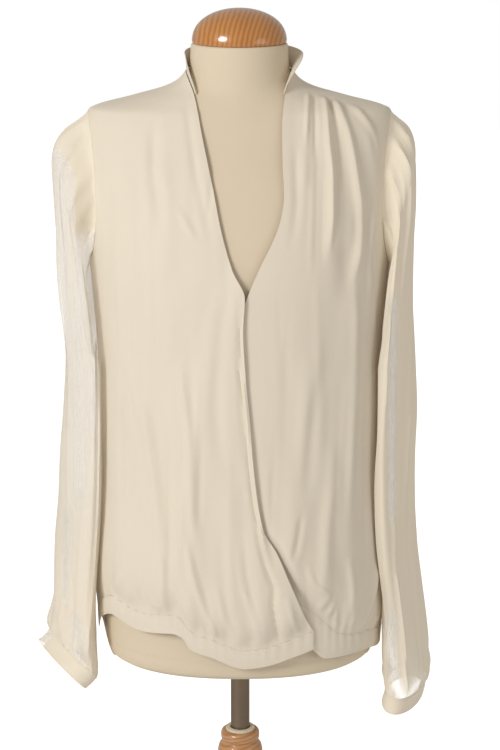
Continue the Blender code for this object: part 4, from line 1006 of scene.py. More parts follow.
def sleeve_points(side_sign, head_rings, length_rings, creases, sizes):
    """A sleeve from its armhole to its gathered end."""
    stations = sleeve_stations(head_rings, length_rings)
    last = len(stations) - 1
    place = np.linspace(0, last, last * RINGS_PER_STATION + 1)
    columns = station_columns(stations, place)
    outer, inner = np.stack(columns[0:2], axis=1), np.stack(columns[2:4], axis=1)
    half_depth, shift, hug = (column[:, None] for column in columns[4:])
    turn = turns_round(SLEEVE_SIDES)[None, :]
    at = place[:, None]
    phase = 0.55 * at * side_sign
    swing = smooth_step((at - 1) / 1.2) * (1 - smooth_step((at - last + 2.6) / 1.8))
    waves = SLEEVE_WAVE * np.cos(SLEEVE_WAVES * turn + phase)
    waves = waves + SLEEVE_SWAY * np.cos(3 * turn - phase)
    near_cuff = smooth_step((at - last + 2.2) / 1.2) * (1 - smooth_step((at - last + 0.25) / 0.25))
    waves = swing * waves + near_cuff * CUFF_WAVE * np.cos(CUFF_GATHERS * turn)
    rings = ring_points(side_sign, outer, inner, half_depth, shift, hug, waves)

    loop = armhole_loop(side_sign)
    joined = HEAD_JOIN * RINGS_PER_STATION
    step = rings[joined + 1] - rings[joined]
    head = sleeve_head(side_sign, loop, rings[joined], step, joined + RINGS_PER_STATION)
    grid = np.concatenate([head, rings[joined:]])
    at = np.concatenate([np.linspace(0, 1, RINGS_PER_STATION, endpoint=False)[:, None] - 1, at])

    outwards = grid_normals(grid, True)
    gather_rise = smooth_step((at - last + 1.6) / 1.3) * (1 - smooth_step((at - last + 0.22) / 0.2))
    ripple = np.cos(2 * CUFF_GATHERS * turn + 1.3 * np.sin(3 * turn))
    height = gather_rise * SLEEVE_GATHER * ripple
    puff = smooth_step((at + 0.9) / 0.7) * (1 - smooth_step((at - 0.6) / 1.6))
    pleats = np.cos(15 * turn + 0.8 * np.sin(4 * turn)) * (np.cos(turn) > -0.2)
    height = height + puff * SLEEVE_PLEAT * pleats
    for start, first_turn, end, last_turn, width, rise in creases:
        along = (at - start) / (end - start)
        centre = first_turn + (last_turn - first_turn) * along
        offset = (np.mod(turn - centre + math.pi, 2 * math.pi) - math.pi) / width
        ends = smooth_step(along / 0.2) * smooth_step((1 - along) / 0.15)
        height = height + rise * ends * (1 - 0.9 * offset**2) * np.exp(-(offset**2))
    free = smooth_step((np.cos(turn) + 0.75) / 0.5)
    return grid + outwards * (sizes.fold_depth * free * height)[..., None]


def cuff_points(side_sign, length_rings):
    """A narrow band that carries on square to the sleeve's end, rolled a little at both edges."""
    *place, half_depth, shift, hug, drop = length_rings[-1]
    outer, inner, downwards = ring_ends(*place, drop)
    down = np.linspace(SEAM_GAP, CUFF_HEIGHT, 12)[:, None]
    plain = np.zeros((len(down), SLEEVE_SIDES))
    outer, inner = outer + down * downwards, inner + down * downwards
    rings = ring_points(side_sign, outer, inner, half_depth, shift, hug, plain)
    share = down / CUFF_HEIGHT
    roll = np.exp(-(((share - 0.93) / 0.06) ** 2)) + np.exp(-(((share - 0.10) / 0.06) ** 2))
    turn = turns_round(SLEEVE_SIDES)[None, :]
    bend = CUFF_BEND * np.sin(math.pi * share) * np.cos(5 * turn + 1.0)
    return rings + grid_normals(rings, True) * (CUFF_ROLL * roll + bend)[..., None]


def neckline():
    """Points of the neck seam from the right front's edge, round behind the neck, to the left's."""
    levels = np.linspace(COLLAR_FRONT_Z, BACK_NECK_Z, 40, endpoint=False)
    right = CLOTH.point(lap_edge_x(levels), levels, -1)
    left = CLOTH.point(under_edge_x(levels), levels, -1)
    turns = math.pi * (0.5 + np.linspace(0, 1, 81))
    behind = CLOTH.at_angle(-turns, np.full_like(turns, BACK_NECK_Z))
    return np.concatenate([right, behind, left[::-1]])


def collar_points():
    """The stand collar, from its seam on the neckline to its free upper edge."""
    seam = neckline()
    lengths = np.linalg.norm(np.diff(seam, axis=0), axis=1)
    places = np.concatenate([[0], np.cumsum(lengths)]) / lengths.sum()
    shares = np.linspace(0, 1, COLLAR_STEPS + 1)
    bases = np.stack([np.interp(shares, places, seam[:, axis]) for axis in range(3)], axis=1)
    tangents = np.gradient(bases, axis=0)
    side = np.where(bases[:, 1] < 0, -1, 1)
    off_seam = np.cross(tangents, CLOTH.normal(bases, side))
    off_seam *= (np.sign(off_seam[:, 2]) * COLLAR_GAP / np.linalg.norm(off_seam, axis=1))[:, None]
    outwards = bases * np.array([1, 1, 0])
    outwards /= np.linalg.norm(outwards, axis=1, keepdims=True)
    climb = np.linspace(0, 1, 12)[:, None]
    rise = table_curve(COLLAR_STATIONS, 0, 1)(shares) * climb
    lean = table_curve(COLLAR_STATIONS, 0, 2)(shares) * rise * climb - COLLAR_INSET
    ripple = np.sin(23 * shares + 1.0)
    wave = COLLAR_WAVE * smooth_step(climb) * ripple * np.sin(math.pi * shares)
    upwards = rise[..., None] * np.array([0, 0, 1.0])
    return bases + off_seam + outwards * (lean + wave)[..., None] + upwards


# Making meshes


def grid_normals(grid, closed):
    """Unit normals of a grid that faces away from the middle of each of its rows."""
    down = np.gradient(grid, axis=0)
    if closed:
        across = np.roll(grid, -1, axis=1) - np.roll(grid, 1, axis=1)
        middle = grid.mean(axis=1, keepdims=True)
    else:
        across = np.gradient(grid, axis=1)
        middle = grid * np.array([0, 0, 1.0])
    normals = np.cross(across, down)
    normals /= np.maximum(np.linalg.norm(normals, axis=2, keepdims=True), 1e-12)
    facing = (normals * (grid - middle)).sum(axis=2).mean()
    return normals * (-1.0 if facing < 0 else 1.0)


def grid_faces(rows, columns, closed):
    """Quads of a grid whose rows are loops when closed is set."""
    spans = columns if closed else columns - 1
    j, i = np.meshgrid(np.arange(rows - 1), np.arange(spans), indexing="ij")
    after = (i + 1) % columns
    row, next_row = j * columns, (j + 1) * columns
    corners = (row + i, row + after, next_row + after, next_row + i)
    return np.stack(corners, axis=-1).reshape(-1, 4)


def faces_outwards(points, faces, grid, closed):
    middle = grid.mean(axis=1, keepdims=True) if closed else grid * np.array([0, 0, 1.0])
    centre = np.broadcast_to(middle, grid.shape).reshape(-1, 3)
    corners = points[faces]
    normals = np.cross(corners[:, 2] - corners[:, 0], corners[:, 3] - corners[:, 1])
    return (normals * (corners - centre[faces]).mean(axis=1)).sum() > 0


def cloth_object(name, grid, thickness, made_of, closed=False, sheer=None, inside=None):
    """A piece of cloth from a grid of points: a thin wall inside them, with its cloth's own
    lengths as its UV map in metres and, on sheer cloth, how clear it hangs at each point."""
    rows, columns = grid.shape[:2]
    points = grid.reshape(-1, 3)
    faces = grid_faces(rows, columns, closed)
    if not faces_outwards(points, faces, grid, closed):
        faces = faces[:, ::-1]
    mesh = bpy.data.meshes.new(name)
    mesh.from_pydata(at_pole(points).tolist(), [], faces.tolist())
    across = np.linalg.norm(np.diff(grid, axis=1), axis=2).mean(axis=0)
    along = np.linalg.norm(np.diff(grid, axis=0), axis=2).mean(axis=1)
    u = np.concatenate([[0], np.cumsum(across)])
    v = np.concatenate([[0], np.cumsum(along)])
    lengths = np.stack(np.broadcast_arrays(u[None, :], v[:, None]), axis=-1).reshape(-1, 2)
    uv = lengths[faces].reshape(-1, 4, 2)
    if closed:
        wrapped = (uv[:, :, 0].max(axis=1) - uv[:, :, 0].min(axis=1)) > u[-1] / 2
        seam_u = uv[:, :, 0]
        seam_u[wrapped[:, None] & (seam_u < u[-1] / 2)] = u[-1] + across.mean()
    layer = mesh.uv_layers.new(name="cloth_lengths")
    layer.data.foreach_set("uv", uv.reshape(-1).astype(np.float32))
    if sheer is not None:
        clear = mesh.attributes.new("single_layer", "FLOAT", "POINT")
        clear.data.foreach_set("value", sheer.reshape(-1).astype(np.float32))
    mesh.materials.append(made_of)
    obj = linked(name, mesh)
    wall = obj.modifiers.new("wall", "SOLIDIFY")
    wall.thickness = thickness
    wall.offset = -1.0
    if inside is not None:
        mesh.materials.append(inside)
        wall.material_offset = 1
    return plain_mesh(obj, 50)


def plain_mesh(obj, sharp_degrees):
    """Takes what the modifiers make as the object's own mesh, shaded smooth but for sharp rims."""
    bpy.context.view_layer.update()
    graph = bpy.context.evaluated_depsgraph_get()
    made = bpy.data.meshes.new_from_object(obj.evaluated_get(graph), depsgraph=graph)
    old = obj.data
    obj.modifiers.clear()
    obj.data = made
    bpy.data.meshes.remove(old)
    made.name = obj.name
    made.shade_smooth()
    made.set_sharp_from_angle(angle=math.radians(sharp_degrees))
    return obj


def turned_object(name, profile, made_of, sharp_degrees=40):
    """A turned piece: its profile runs down the outer side, and up a bore where it has one."""
    mesh = bpy.data.meshes.new(name)
    edges = [(i, i + 1) for i in range(len(profile) - 1)]
    if profile[0][0] > 0:
        edges.append((len(profile) - 1, 0))
    mesh.from_pydata([(radius, 0.0, z) for radius, z in profile], edges, [])
    mesh.materials.append(made_of)
    obj = linked(name, mesh)
    screw = obj.modifiers.new("turned", "SCREW")
    screw.axis = "Z"
    screw.steps = TURNED_SIDES
    screw.render_steps = TURNED_SIDES
    screw.use_merge_vertices = True
    screw.merge_threshold = 0.00001
    plain_mesh(obj, sharp_degrees)
    work = bmesh.new()
    work.from_mesh(obj.data)
    bmesh.ops.recalc_face_normals(work, faces=work.faces[:])
    bmesh.ops.translate(work, verts=work.verts[:], vec=(0, POLE_Y, 0))
    work.to_mesh(obj.data)
    work.free()
    return obj


def softened_profile(profile, radius):
    """The same turning with each of its corners rounded, as sanding leaves them."""
    points = [np.array(p) for p in profile]
    soft = [points[0]]
    for before, corner, after in zip(points, points[1:], points[2:]):
        near = min(radius, np.linalg.norm(before - corner) / 3)
        far = min(radius, np.linalg.norm(after - corner) / 3)
        first = corner + (before - corner) / max(np.linalg.norm(before - corner), 1e-9) * near
        last = corner + (after - corner) / max(np.linalg.norm(after - corner), 1e-9) * far
        for t in (0.0, 0.25, 0.5, 0.75, 1.0):
            soft.append((1 - t) ** 2 * first + 2 * t * (1 - t) * corner + t * t * last)
    soft.append(points[-1])
    return [(float(r), float(z)) for r, z in soft]


def finished(obj, body, slot, *nodes):
    """Fixes a piece to what it moves with, and hides the solids that it stands for. Its finish, the
    slot, is not used.
    """
    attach(obj, body)
    if nodes:
        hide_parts(*nodes)
    return obj


# Materials

# Sockets of a Mix node that mixes colours: the factor, the two colours, and what comes out
COLOUR_MIX_INPUTS, COLOUR_MIX_OUTPUT = (0, 6, 7), 2
# Where the growth rings of the cap's and the stand's wood have their middle
CAP_RINGS_CENTRE = (0.105, POLE_Y, NECK_TOP_Z - 0.012)
STAND_RINGS_CENTRE = (0.060, POLE_Y, 0.30)
CHIFFON_PITCH, CHIFFON_ROUGHNESS, CHIFFON_DEPTH = 0.00035, 0.62, 0.00006

MATERIALS = {}


def new_group(name, inputs, outputs):
    """An empty shader node group with named inputs (name, socket type, default) and outputs."""
    group = bpy.data.node_groups.new(name, "ShaderNodeTree")
    for label, kind, default in inputs:
        socket = group.interface.new_socket(name=label, in_out="INPUT", socket_type=kind)
        if default is not None:
            socket.default_value = default
    for label, kind in outputs:
        group.interface.new_socket(name=label, in_out="OUTPUT", socket_type=kind)
    return group, group.nodes.new("NodeGroupInput"), group.nodes.new("NodeGroupOutput")


def node(tree, kind, **settings):
    made = tree.nodes.new(kind)
    for name, value in settings.items():
        setattr(made, name, value)
    return made


def feed(tree, socket, value):
    """Links a socket to another one, or sets it to a plain value."""
    if isinstance(value, bpy.types.NodeSocket):
        tree.links.new(value, socket)
    else:
        socket.default_value = value


def math_node(tree, operation, *values):
    """A Math node on sockets or plain numbers, in order."""
    made = node(tree, "ShaderNodeMath", operation=operation)
    for socket, value in zip(made.inputs, values):
        feed(tree, socket, value)
    return made.outputs[0]


def noise(tree, vector, scale, detail=2.0, distortion=0.0):
    made = node(tree, "ShaderNodeTexNoise")
    tree.links.new(vector, made.inputs["Vector"])
    made.inputs["Scale"].default_value = scale
    made.inputs["Detail"].default_value = detail
    made.inputs["Distortion"].default_value = distortion
    return made.outputs["Fac"]


def stretched(tree, vector, scale, location=(0, 0, 0)):
    made = node(tree, "ShaderNodeMapping")
    tree.links.new(vector, made.inputs["Vector"])
    made.inputs["Scale"].default_value = scale
    made.inputs["Location"].default_value = location
    return made.outputs["Vector"]


def mix_colour(tree, factor, first, second):
    made = node(tree, "ShaderNodeMix", data_type="RGBA")
    factor_socket, first_socket, second_socket = (made.inputs[i] for i in COLOUR_MIX_INPUTS)
    feed(tree, factor_socket, factor)
    feed(tree, first_socket, first)
    feed(tree, second_socket, second)
    return made.outputs[COLOUR_MIX_OUTPUT]


def weave_group():
    """Crossing threads from a UV map in metres, uneven as spun yarn is. Weave is the height of the
    threads, Slub their thick and thin places, and Cloud a slow mask for the colour, each 0 to 1."""
    group, inputs, outputs = new_group(
        "crossing_threads",
        (("Lengths", "NodeSocketVector", None), ("Thread Pitch", "NodeSocketFloat", 0.0004)),
        (("Weave", "NodeSocketFloat"), ("Slub", "NodeSocketFloat"), ("Cloud", "NodeSocketFloat")),
    )
    lengths = inputs.outputs["Lengths"]
    split = node(group, "ShaderNodeSeparateXYZ")
    group.links.new(lengths, split.inputs[0])
    turns = math_node(group, "DIVIDE", 2 * math.pi, inputs.outputs["Thread Pitch"])
    jitter = noise(group, lengths, 900.0, 1.0)
    waves = []
    for axis in (0, 1):
        angle = math_node(group, "MULTIPLY", split.outputs[axis], turns)
        angle = math_node(group, "ADD", angle, math_node(group, "MULTIPLY", jitter, 5.0))
        waves.append(math_node(group, "SINE", angle))
    crossing = math_node(group, "MULTIPLY", waves[0], waves[1])
    group.links.new(math_node(group, "MULTIPLY_ADD", crossing, 0.5, 0.5), outputs.inputs["Weave"])
    slub = noise(group, stretched(group, lengths, (1.0, 0.12, 1.0)), 1400.0, 2.0)
    group.links.new(slub, outputs.inputs["Slub"])
    group.links.new(noise(group, lengths, 14.0, 4.0, 0.4), outputs.inputs["Cloud"])
    return group


def grain_group():
    """Growth rings cut across by turning: arcs about a line along Y, with fine fibres on them."""
    group, inputs, outputs = new_group(
        "growth_rings",
        (
            ("Place", "NodeSocketVector", None),
            ("Ring Scale", "NodeSocketFloat", 60.0),
            ("Waver", "NodeSocketFloat", 2.0),
        ),
        (
            ("Rings", "NodeSocketFloat"),
            ("Fibres", "NodeSocketFloat"),
            ("Patches", "NodeSocketFloat"),
        ),
    )
    place = inputs.outputs["Place"]
    rings = node(group, "ShaderNodeTexWave", wave_type="RINGS", rings_direction="Y")
    group.links.new(place, rings.inputs["Vector"])
    group.links.new(inputs.outputs["Ring Scale"], rings.inputs["Scale"])
    group.links.new(inputs.outputs["Waver"], rings.inputs["Distortion"])
    rings.inputs["Detail"].default_value = 3.0
    rings.inputs["Detail Scale"].default_value = 1.2
    group.links.new(rings.outputs["Fac"], outputs.inputs["Rings"])
    fibres = noise(group, stretched(group, place, (1.0, 1.0, 0.10)), 1500.0, 3.0)
    group.links.new(fibres, outputs.inputs["Fibres"])
    group.links.new(noise(group, place, 45.0, 3.0, 0.6), outputs.inputs["Patches"])
    return group


def new_material(name):
    """A material with only its Principled shader, and its tree."""
    made = bpy.data.materials.new(name)
    made.use_nodes = True
    return made, made.node_tree, made.node_tree.nodes["Principled BSDF"]


def set_sockets(shader, **values):
    for name, value in values.items():
        shader.inputs[name.replace("_", " ")].default_value = value


def use_group(tree, group, vector, **values):
    made = node(tree, "ShaderNodeGroup", node_tree=group)
    tree.links.new(vector, made.inputs[0])
    for name, value in values.items():
        made.inputs[name.replace("_", " ")].default_value = value
    return made


def bump(tree, shader, *layers):
    """Chained Bump nodes, each (height socket, strength, distance), into the shader's Normal."""
    normal = None
    for height, strength, distance in layers:
        made = node(tree, "ShaderNodeBump")
        made.inputs["Strength"].default_value = strength
        made.inputs["Distance"].default_value = distance
        tree.links.new(height, made.inputs["Height"])
        if normal is not None:
            tree.links.new(normal, made.inputs["Normal"])
        normal = made.outputs["Normal"]
    tree.links.new(normal, shader.inputs["Normal"])


def darker(colour, share):
    return (*(channel * share for channel in colour[:3]), 1.0)


def opaque(colour):
    return (*colour[:3], 1.0)


def cloth_material(name, group, colour, thread_pitch, roughness, sheen, weave_depth):
    """Woven cloth: threads, slubs and a clouded colour, with a soft sheen."""
    made, tree, shader = new_material(name)
    lengths = node(tree, "ShaderNodeUVMap", uv_map="cloth_lengths").outputs["UV"]
    weave = use_group(tree, group, lengths, Thread_Pitch=thread_pitch)
    tint = math_node(tree, "MULTIPLY_ADD", weave.outputs["Slub"], 0.35, -0.05)
    tint = math_node(tree, "MULTIPLY_ADD", weave.outputs["Cloud"], 0.45, tint)
    shade = mix_colour(tree, tint, opaque(colour), darker(colour, 0.93))
    tree.links.new(shade, shader.inputs["Base Color"])
    rough = math_node(tree, "MULTIPLY_ADD", weave.outputs["Slub"], 0.18, roughness - 0.09)
    tree.links.new(rough, shader.inputs["Roughness"])
    bump(
        tree,
        shader,
        (weave.outputs["Cloud"], 0.25, 0.0020),
        (weave.outputs["Slub"], 0.30, weave_depth),
        (weave.outputs["Weave"], 0.25, weave_depth),
    )
    set_sockets(shader, Sheen_Weight=sheen, Sheen_Roughness=0.5, Specular_IOR_Level=0.25)
    return made, tree, shader, weave


def crepe_material(group, looks):
    return cloth_material("ivory crepe", group, looks.crepe, 0.00045, 0.68, 0.10, 0.00010)[0]


def chiffon_material(group, looks):
    """Sheer cloth. Where one layer hangs alone it is clearer than where folds double it. A faint glow
    in its own colour is painted light, standing in for the light that shines through the sheer cloth.
    """
    made, tree, shader, weave = cloth_material(
        "ivory chiffon",
        group,
        looks.chiffon,
        CHIFFON_PITCH,
        CHIFFON_ROUGHNESS,
        0.08,
        CHIFFON_DEPTH,
    )
    layer = node(tree, "ShaderNodeAttribute", attribute_name="single_layer").outputs["Fac"]
    gain = looks.clear_cover - looks.folded_cover
    cover = math_node(tree, "MULTIPLY_ADD", layer, gain, looks.folded_cover)
    cover = math_node(tree, "ADD", cover, -0.05)
    cover = math_node(tree, "MULTIPLY_ADD", weave.outputs["Cloud"], 0.10, cover)
    cover = math_node(tree, "MINIMUM", math_node(tree, "MAXIMUM", cover, 0.05), 1.0)
    tree.links.new(cover, shader.inputs["Alpha"])
    # Painted light: a faint glow in the chiffon's own colour brightens its shaded inner faces, as
    # light shining through the cloth would
    set_sockets(shader, Emission_Color=opaque(looks.chiffon), Emission_Strength=0.06)
    return made


def inner_chiffon_material(group, looks):
    """The inner face of the sheer wall, nearly clear, so that each wall covers only once."""
    made, tree, shader, weave = cloth_material(
        "ivory chiffon, inner face",
        group,
        looks.chiffon,
        CHIFFON_PITCH,
        CHIFFON_ROUGHNESS,
        0.0,
        CHIFFON_DEPTH,
    )
    cover = math_node(tree, "MULTIPLY", weave.outputs["Slub"], 0.05)
    tree.links.new(cover, shader.inputs["Alpha"])
    return made


def jersey_material(group, looks):
    return cloth_material("cream jersey", group, looks.jersey, 0.0007, 0.80, 0.05, 0.00012)[0]


def wood_material(name, group, pale, dark, centre, ring_scale, roughness, coat):
    """Turned wood: growth rings from pale to dark, fibres, and a clear coat over them."""
    made, tree, shader = new_material(name)
    place = node(tree, "ShaderNodeTexCoord").outputs["Object"]
    place = stretched(tree, place, (1, 1, 1), tuple(-c for c in centre))
    grain = use_group(tree, group, place, Ring_Scale=ring_scale, Waver=1.6)
    amount = math_node(tree, "MULTIPLY_ADD", grain.outputs["Rings"], 0.55, 0.0)
    amount = math_node(tree, "MULTIPLY_ADD", grain.outputs["Fibres"], 0.35, amount)
    amount = math_node(tree, "ADD", amount, -0.25)
    amount = math_node(tree, "MULTIPLY_ADD", grain.outputs["Patches"], 0.5, amount)
    clamp = node(tree, "ShaderNodeClamp")
    tree.links.new(amount, clamp.inputs[0])
    shade = mix_colour(tree, clamp.outputs[0], opaque(pale), opaque(dark))
    tree.links.new(shade, shader.inputs["Base Color"])
    rough = math_node(tree, "MULTIPLY_ADD", grain.outputs["Fibres"], 0.15, roughness - 0.07)
    tree.links.new(rough, shader.inputs["Roughness"])
    bump(
        tree,
        shader,
        (grain.outputs["Fibres"], 0.15, 0.00015),
        (grain.outputs["Rings"], 0.10, 0.00020),
    )
    set_sockets(shader, Coat_Weight=coat, Coat_Roughness=0.06, Coat_IOR=1.5)
    return made


def steel_material(looks):
    """Drawn steel tube: faint lines along it and a brownish reflection."""
    made, tree, shader = new_material("drawn steel")
    place = node(tree, "ShaderNodeTexCoord").outputs["Object"]
    lines = noise(tree, stretched(tree, place, (1.0, 1.0, 0.02)), 1800.0, 3.0)
    smears = noise(tree, stretched(tree, place, (1.0, 1.0, 0.4)), 60.0, 3.0)
    shade = mix_colour(tree, smears, opaque(looks.steel), darker(looks.steel, 0.75))
    tree.links.new(shade, shader.inputs["Base Color"])
    rough = math_node(tree, "MULTIPLY_ADD", smears, 0.14, 0.20)
    tree.links.new(math_node(tree, "MULTIPLY_ADD", lines, 0.08, rough), shader.inputs["Roughness"])
    bump(tree, shader, (lines, 0.10, 0.00010))
    set_sockets(shader, Metallic=1.0)
    return made


def plastic_material(looks):
    """Moulded plastic, a little grimy in random patches."""
    made, tree, shader = new_material("moulded plastic")
    place = node(tree, "ShaderNodeTexCoord").outputs["Object"]
    mottle = noise(tree, place, 70.0, 4.0)
    pits = noise(tree, place, 2200.0, 2.0)
    shade = mix_colour(tree, mottle, opaque(looks.plastic), darker(looks.plastic, 0.86))
    tree.links.new(shade, shader.inputs["Base Color"])
    tree.links.new(math_node(tree, "MULTIPLY_ADD", mottle, 0.2, 0.35), shader.inputs["Roughness"])
    bump(tree, shader, (pits, 0.12, 0.00010))
    return made


def material(name):
    """A material by its name. All are made together, the first time that one is asked for."""
    if "crepe" not in MATERIALS:
        looks = bpy.context.scene.blouse_looks
        weave, grain = weave_group(), grain_group()
        MATERIALS["crepe"] = crepe_material(weave, looks)
        MATERIALS["chiffon"] = chiffon_material(weave, looks)
        MATERIALS["chiffon inside"] = inner_chiffon_material(weave, looks)
        MATERIALS["jersey"] = jersey_material(weave, looks)
        pale, dark, centre = looks.varnish_pale, looks.varnish_dark, CAP_RINGS_CENTRE
        MATERIALS["varnished"] = wood_material(
            "varnished wood", grain, pale, dark, centre, 62.0, 0.30, 1.0
        )
        pale, dark, centre = looks.wood_pale, looks.wood_dark, STAND_RINGS_CENTRE
        MATERIALS["turned"] = wood_material("turned wood", grain, pale, dark, centre, 70.0, 0.38, 0.6)
        MATERIALS["steel"] = steel_material(looks)
        MATERIALS["plastic"] = plastic_material(looks)
    return MATERIALS[name]


# Stitches


def stitch_tree():
    """Places a small slanting thread at each pitch along a line of edges."""
    tree = bpy.data.node_groups.new("stitches_along_a_seam", "GeometryNodeTree")
    face = tree.interface
    face.new_socket(name="Geometry", in_out="INPUT", socket_type="NodeSocketGeometry")
    for name, kind in (
        ("Stitch Length", "NodeSocketFloat"),
        ("Stitch Pitch", "NodeSocketFloat"),
        ("Thread Thickness", "NodeSocketFloat"),
        ("Thread", "NodeSocketMaterial"),
    ):
        face.new_socket(name=name, in_out="INPUT", socket_type=kind)
    face.new_socket(name="Geometry", in_out="OUTPUT", socket_type="NodeSocketGeometry")
    start, end = tree.nodes.new("NodeGroupInput"), tree.nodes.new("NodeGroupOutput")
    curve = tree.nodes.new("GeometryNodeMeshToCurve")
    spaced = node(tree, "GeometryNodeResampleCurve", mode="LENGTH")
    tangent = tree.nodes.new("GeometryNodeInputTangent")
    aim = node(tree, "FunctionNodeAlignRotationToVector", axis="X")
    thread = tree.nodes.new("GeometryNodeMeshUVSphere")
    thread.inputs["Segments"].default_value = 6
    thread.inputs["Rings"].default_value = 4
    thread.inputs["Radius"].default_value = 0.5
    size = tree.nodes.new("ShaderNodeCombineXYZ")
    copies = tree.nodes.new("GeometryNodeInstanceOnPoints")
    real = tree.nodes.new("GeometryNodeRealizeInstances")
    finish = tree.nodes.new("GeometryNodeSetMaterial")
    for out, into in (
        (start.outputs["Geometry"], curve.inputs["Mesh"]),
        (curve.outputs["Curve"], spaced.inputs["Curve"]),
        (start.outputs["Stitch Pitch"], spaced.inputs["Length"]),
        (spaced.outputs["Curve"], copies.inputs["Points"]),
        (tangent.outputs["Tangent"], aim.inputs["Vector"]),
        (aim.outputs["Rotation"], copies.inputs["Rotation"]),
        (thread.outputs["Mesh"], copies.inputs["Instance"]),
        (start.outputs["Stitch Length"], size.inputs["X"]),
        (start.outputs["Thread Thickness"], size.inputs["Y"]),
        (start.outputs["Thread Thickness"], size.inputs["Z"]),
        (size.outputs["Vector"], copies.inputs["Scale"]),
        (copies.outputs["Instances"], real.inputs["Geometry"]),
        (real.outputs["Geometry"], finish.inputs["Geometry"]),
        (start.outputs["Thread"], finish.inputs["Material"]),
        (finish.outputs["Geometry"], end.inputs["Geometry"]),
    ):
        tree.links.new(out, into)
    return tree


def stitches_object(name, lines, made_of):
    """One piece of stitches along several lines of points, some of them closed loops."""
    sizes = bpy.context.scene.blouse_sizes
    points, edges = [], []
    for line, closed in lines:
        first = len(points)
        points += at_pole(line).tolist()
        edges += [(first + i, first + i + 1) for i in range(len(line) - 1)]
        if closed:
            edges.append((len(points) - 1, first))
    mesh = bpy.data.meshes.new(name)
    mesh.from_pydata(points, edges, [])
    obj = linked(name, mesh)
    tree = bpy.data.node_groups.get("stitches_along_a_seam") or stitch_tree()
    modifier = obj.modifiers.new("stitches", "NODES")
    modifier.node_group = tree
    values = {
        "Stitch Length": sizes.stitch_length,
        "Stitch Pitch": sizes.stitch_pitch,
        "Thread Thickness": sizes.thread_thickness,
        "Thread": made_of,
    }
    for item in tree.interface.items_tree:
        if item.in_out == "INPUT" and item.name in values:
            modifier[item.identifier] = values[item.name]
    return plain_mesh(obj, 180)


def raised(grid, closed, row, height):
    """A line of points just above one row of a grid."""
    return (grid + grid_normals(grid, closed) * height)[row]


# Pieces


def length_property(name, description, default):
    return bpy.props.FloatProperty(
        name=name, description=description, default=default, unit="LENGTH"
    )


def share_property(name, description, default):
    return bpy.props.FloatProperty(
        name=name, description=description, default=default, subtype="FACTOR"
    )


def power_property(name, description, default):
    return bpy.props.FloatProperty(
        name=name, description=description, default=default, unit="POWER"
    )


def colour_property(name, description, default):
    return bpy.props.FloatVectorProperty(
        name=name,
        description=description,
        default=default,
        size=3,
        subtype="COLOR",
        min=0.0,
        max=1.0,
    )


class BlouseSizes(bpy.types.PropertyGroup):
    cloth_thickness: length_property("Crepe Thickness", "Thickness of the body's cloth", 0.0008)
    sleeve_thickness: length_property(
        "Chiffon Thickness", "Thickness of the sleeves' cloth", 0.0004
    )
    cuff_thickness: length_property("Cuff Thickness", "Thickness of the doubled cuffs", 0.0010)
    fold_depth: share_property("Fold Depth", "Scale of every crease and gather", 1.05)
    gather_pitch: length_property(
        "Gather Pitch", "Width of one small gather above the band", 0.0105
    )
    stitch_length: length_property("Stitch Length", "Length of thread that shows", 0.0021)
    stitch_pitch: length_property("Stitch Pitch", "Distance from stitch to stitch", 0.0030)
    thread_thickness: length_property(
        "Thread Thickness", "Thickness of the sewing thread", 0.00026
    )


class BlouseLooks(bpy.types.PropertyGroup):
    crepe: colour_property("Crepe", "Colour of the body's cloth", (0.80, 0.722, 0.598))
    chiffon: colour_property("Chiffon", "Colour of the sheer sleeves", (0.82, 0.735, 0.600))
    jersey: colour_property("Jersey", "Colour of the dress form's cover", (0.74, 0.63, 0.475))
    varnish_pale: colour_property(
        "Varnish, Pale", "Pale grain of the neck cap", (0.64, 0.285, 0.062)
    )
    varnish_dark: colour_property(
        "Varnish, Dark", "Dark grain of the neck cap", (0.33, 0.095, 0.018)
    )
    wood_pale: colour_property("Wood, Pale", "Pale grain of the turned stand", (0.60, 0.33, 0.15))
    wood_dark: colour_property("Wood, Dark", "Dark grain of the turned stand", (0.36, 0.14, 0.045))
    steel: colour_property("Steel", "Colour of the pole", (0.25, 0.19, 0.135))
    plastic: colour_property("Plastic", "Colour of the pole's guide bush", (0.76, 0.70, 0.56))
    folded_cover: share_property(
        "Folded Cover", "How much a sleeve wall covers where it folds", 0.66
    )
    clear_cover: share_property(
        "Single Cover", "How much a sleeve wall covers where it hangs alone", 0.30
    )


class StudioLooks(bpy.types.PropertyGroup):
    key_power: power_property("Key Power", "Power of the large lamp at the front left", 50.0)
    fill_power: power_property("Fill Power", "Power of the lamp at the front right", 7.0)
    floor_glow: bpy.props.FloatProperty(
        name="Floor Glow",
        description="How far the floor is lifted to white in the picture",
        default=0.78,
    )
    room_light: share_property("Room Light", "Strength of the even light all round", 0.45)


def body_panel(name, side, panel, band):
    """One front or the back with its hem band and the band's two rows of stitches."""
    thickness, crepe = bpy.context.scene.blouse_sizes.cloth_thickness, material("crepe")
    cloth = cloth_object(f"{name}_cloth", panel, thickness, crepe)
    finished(cloth, "bust", "ivory_crepe", name)
    lines = [(raised(band, False, row, STITCH_RISE), False) for row in STITCH_ROWS]
    band = cloth_object(f"hem_band_{side}_cloth", band, thickness, crepe)
    finished(band, "bust", "ivory_crepe", f"hem_band_{side}")
    stitches = stitches_object(f"hem_stitches_{side}", lines, crepe)
    finished(stitches, "bust", "ivory_crepe")


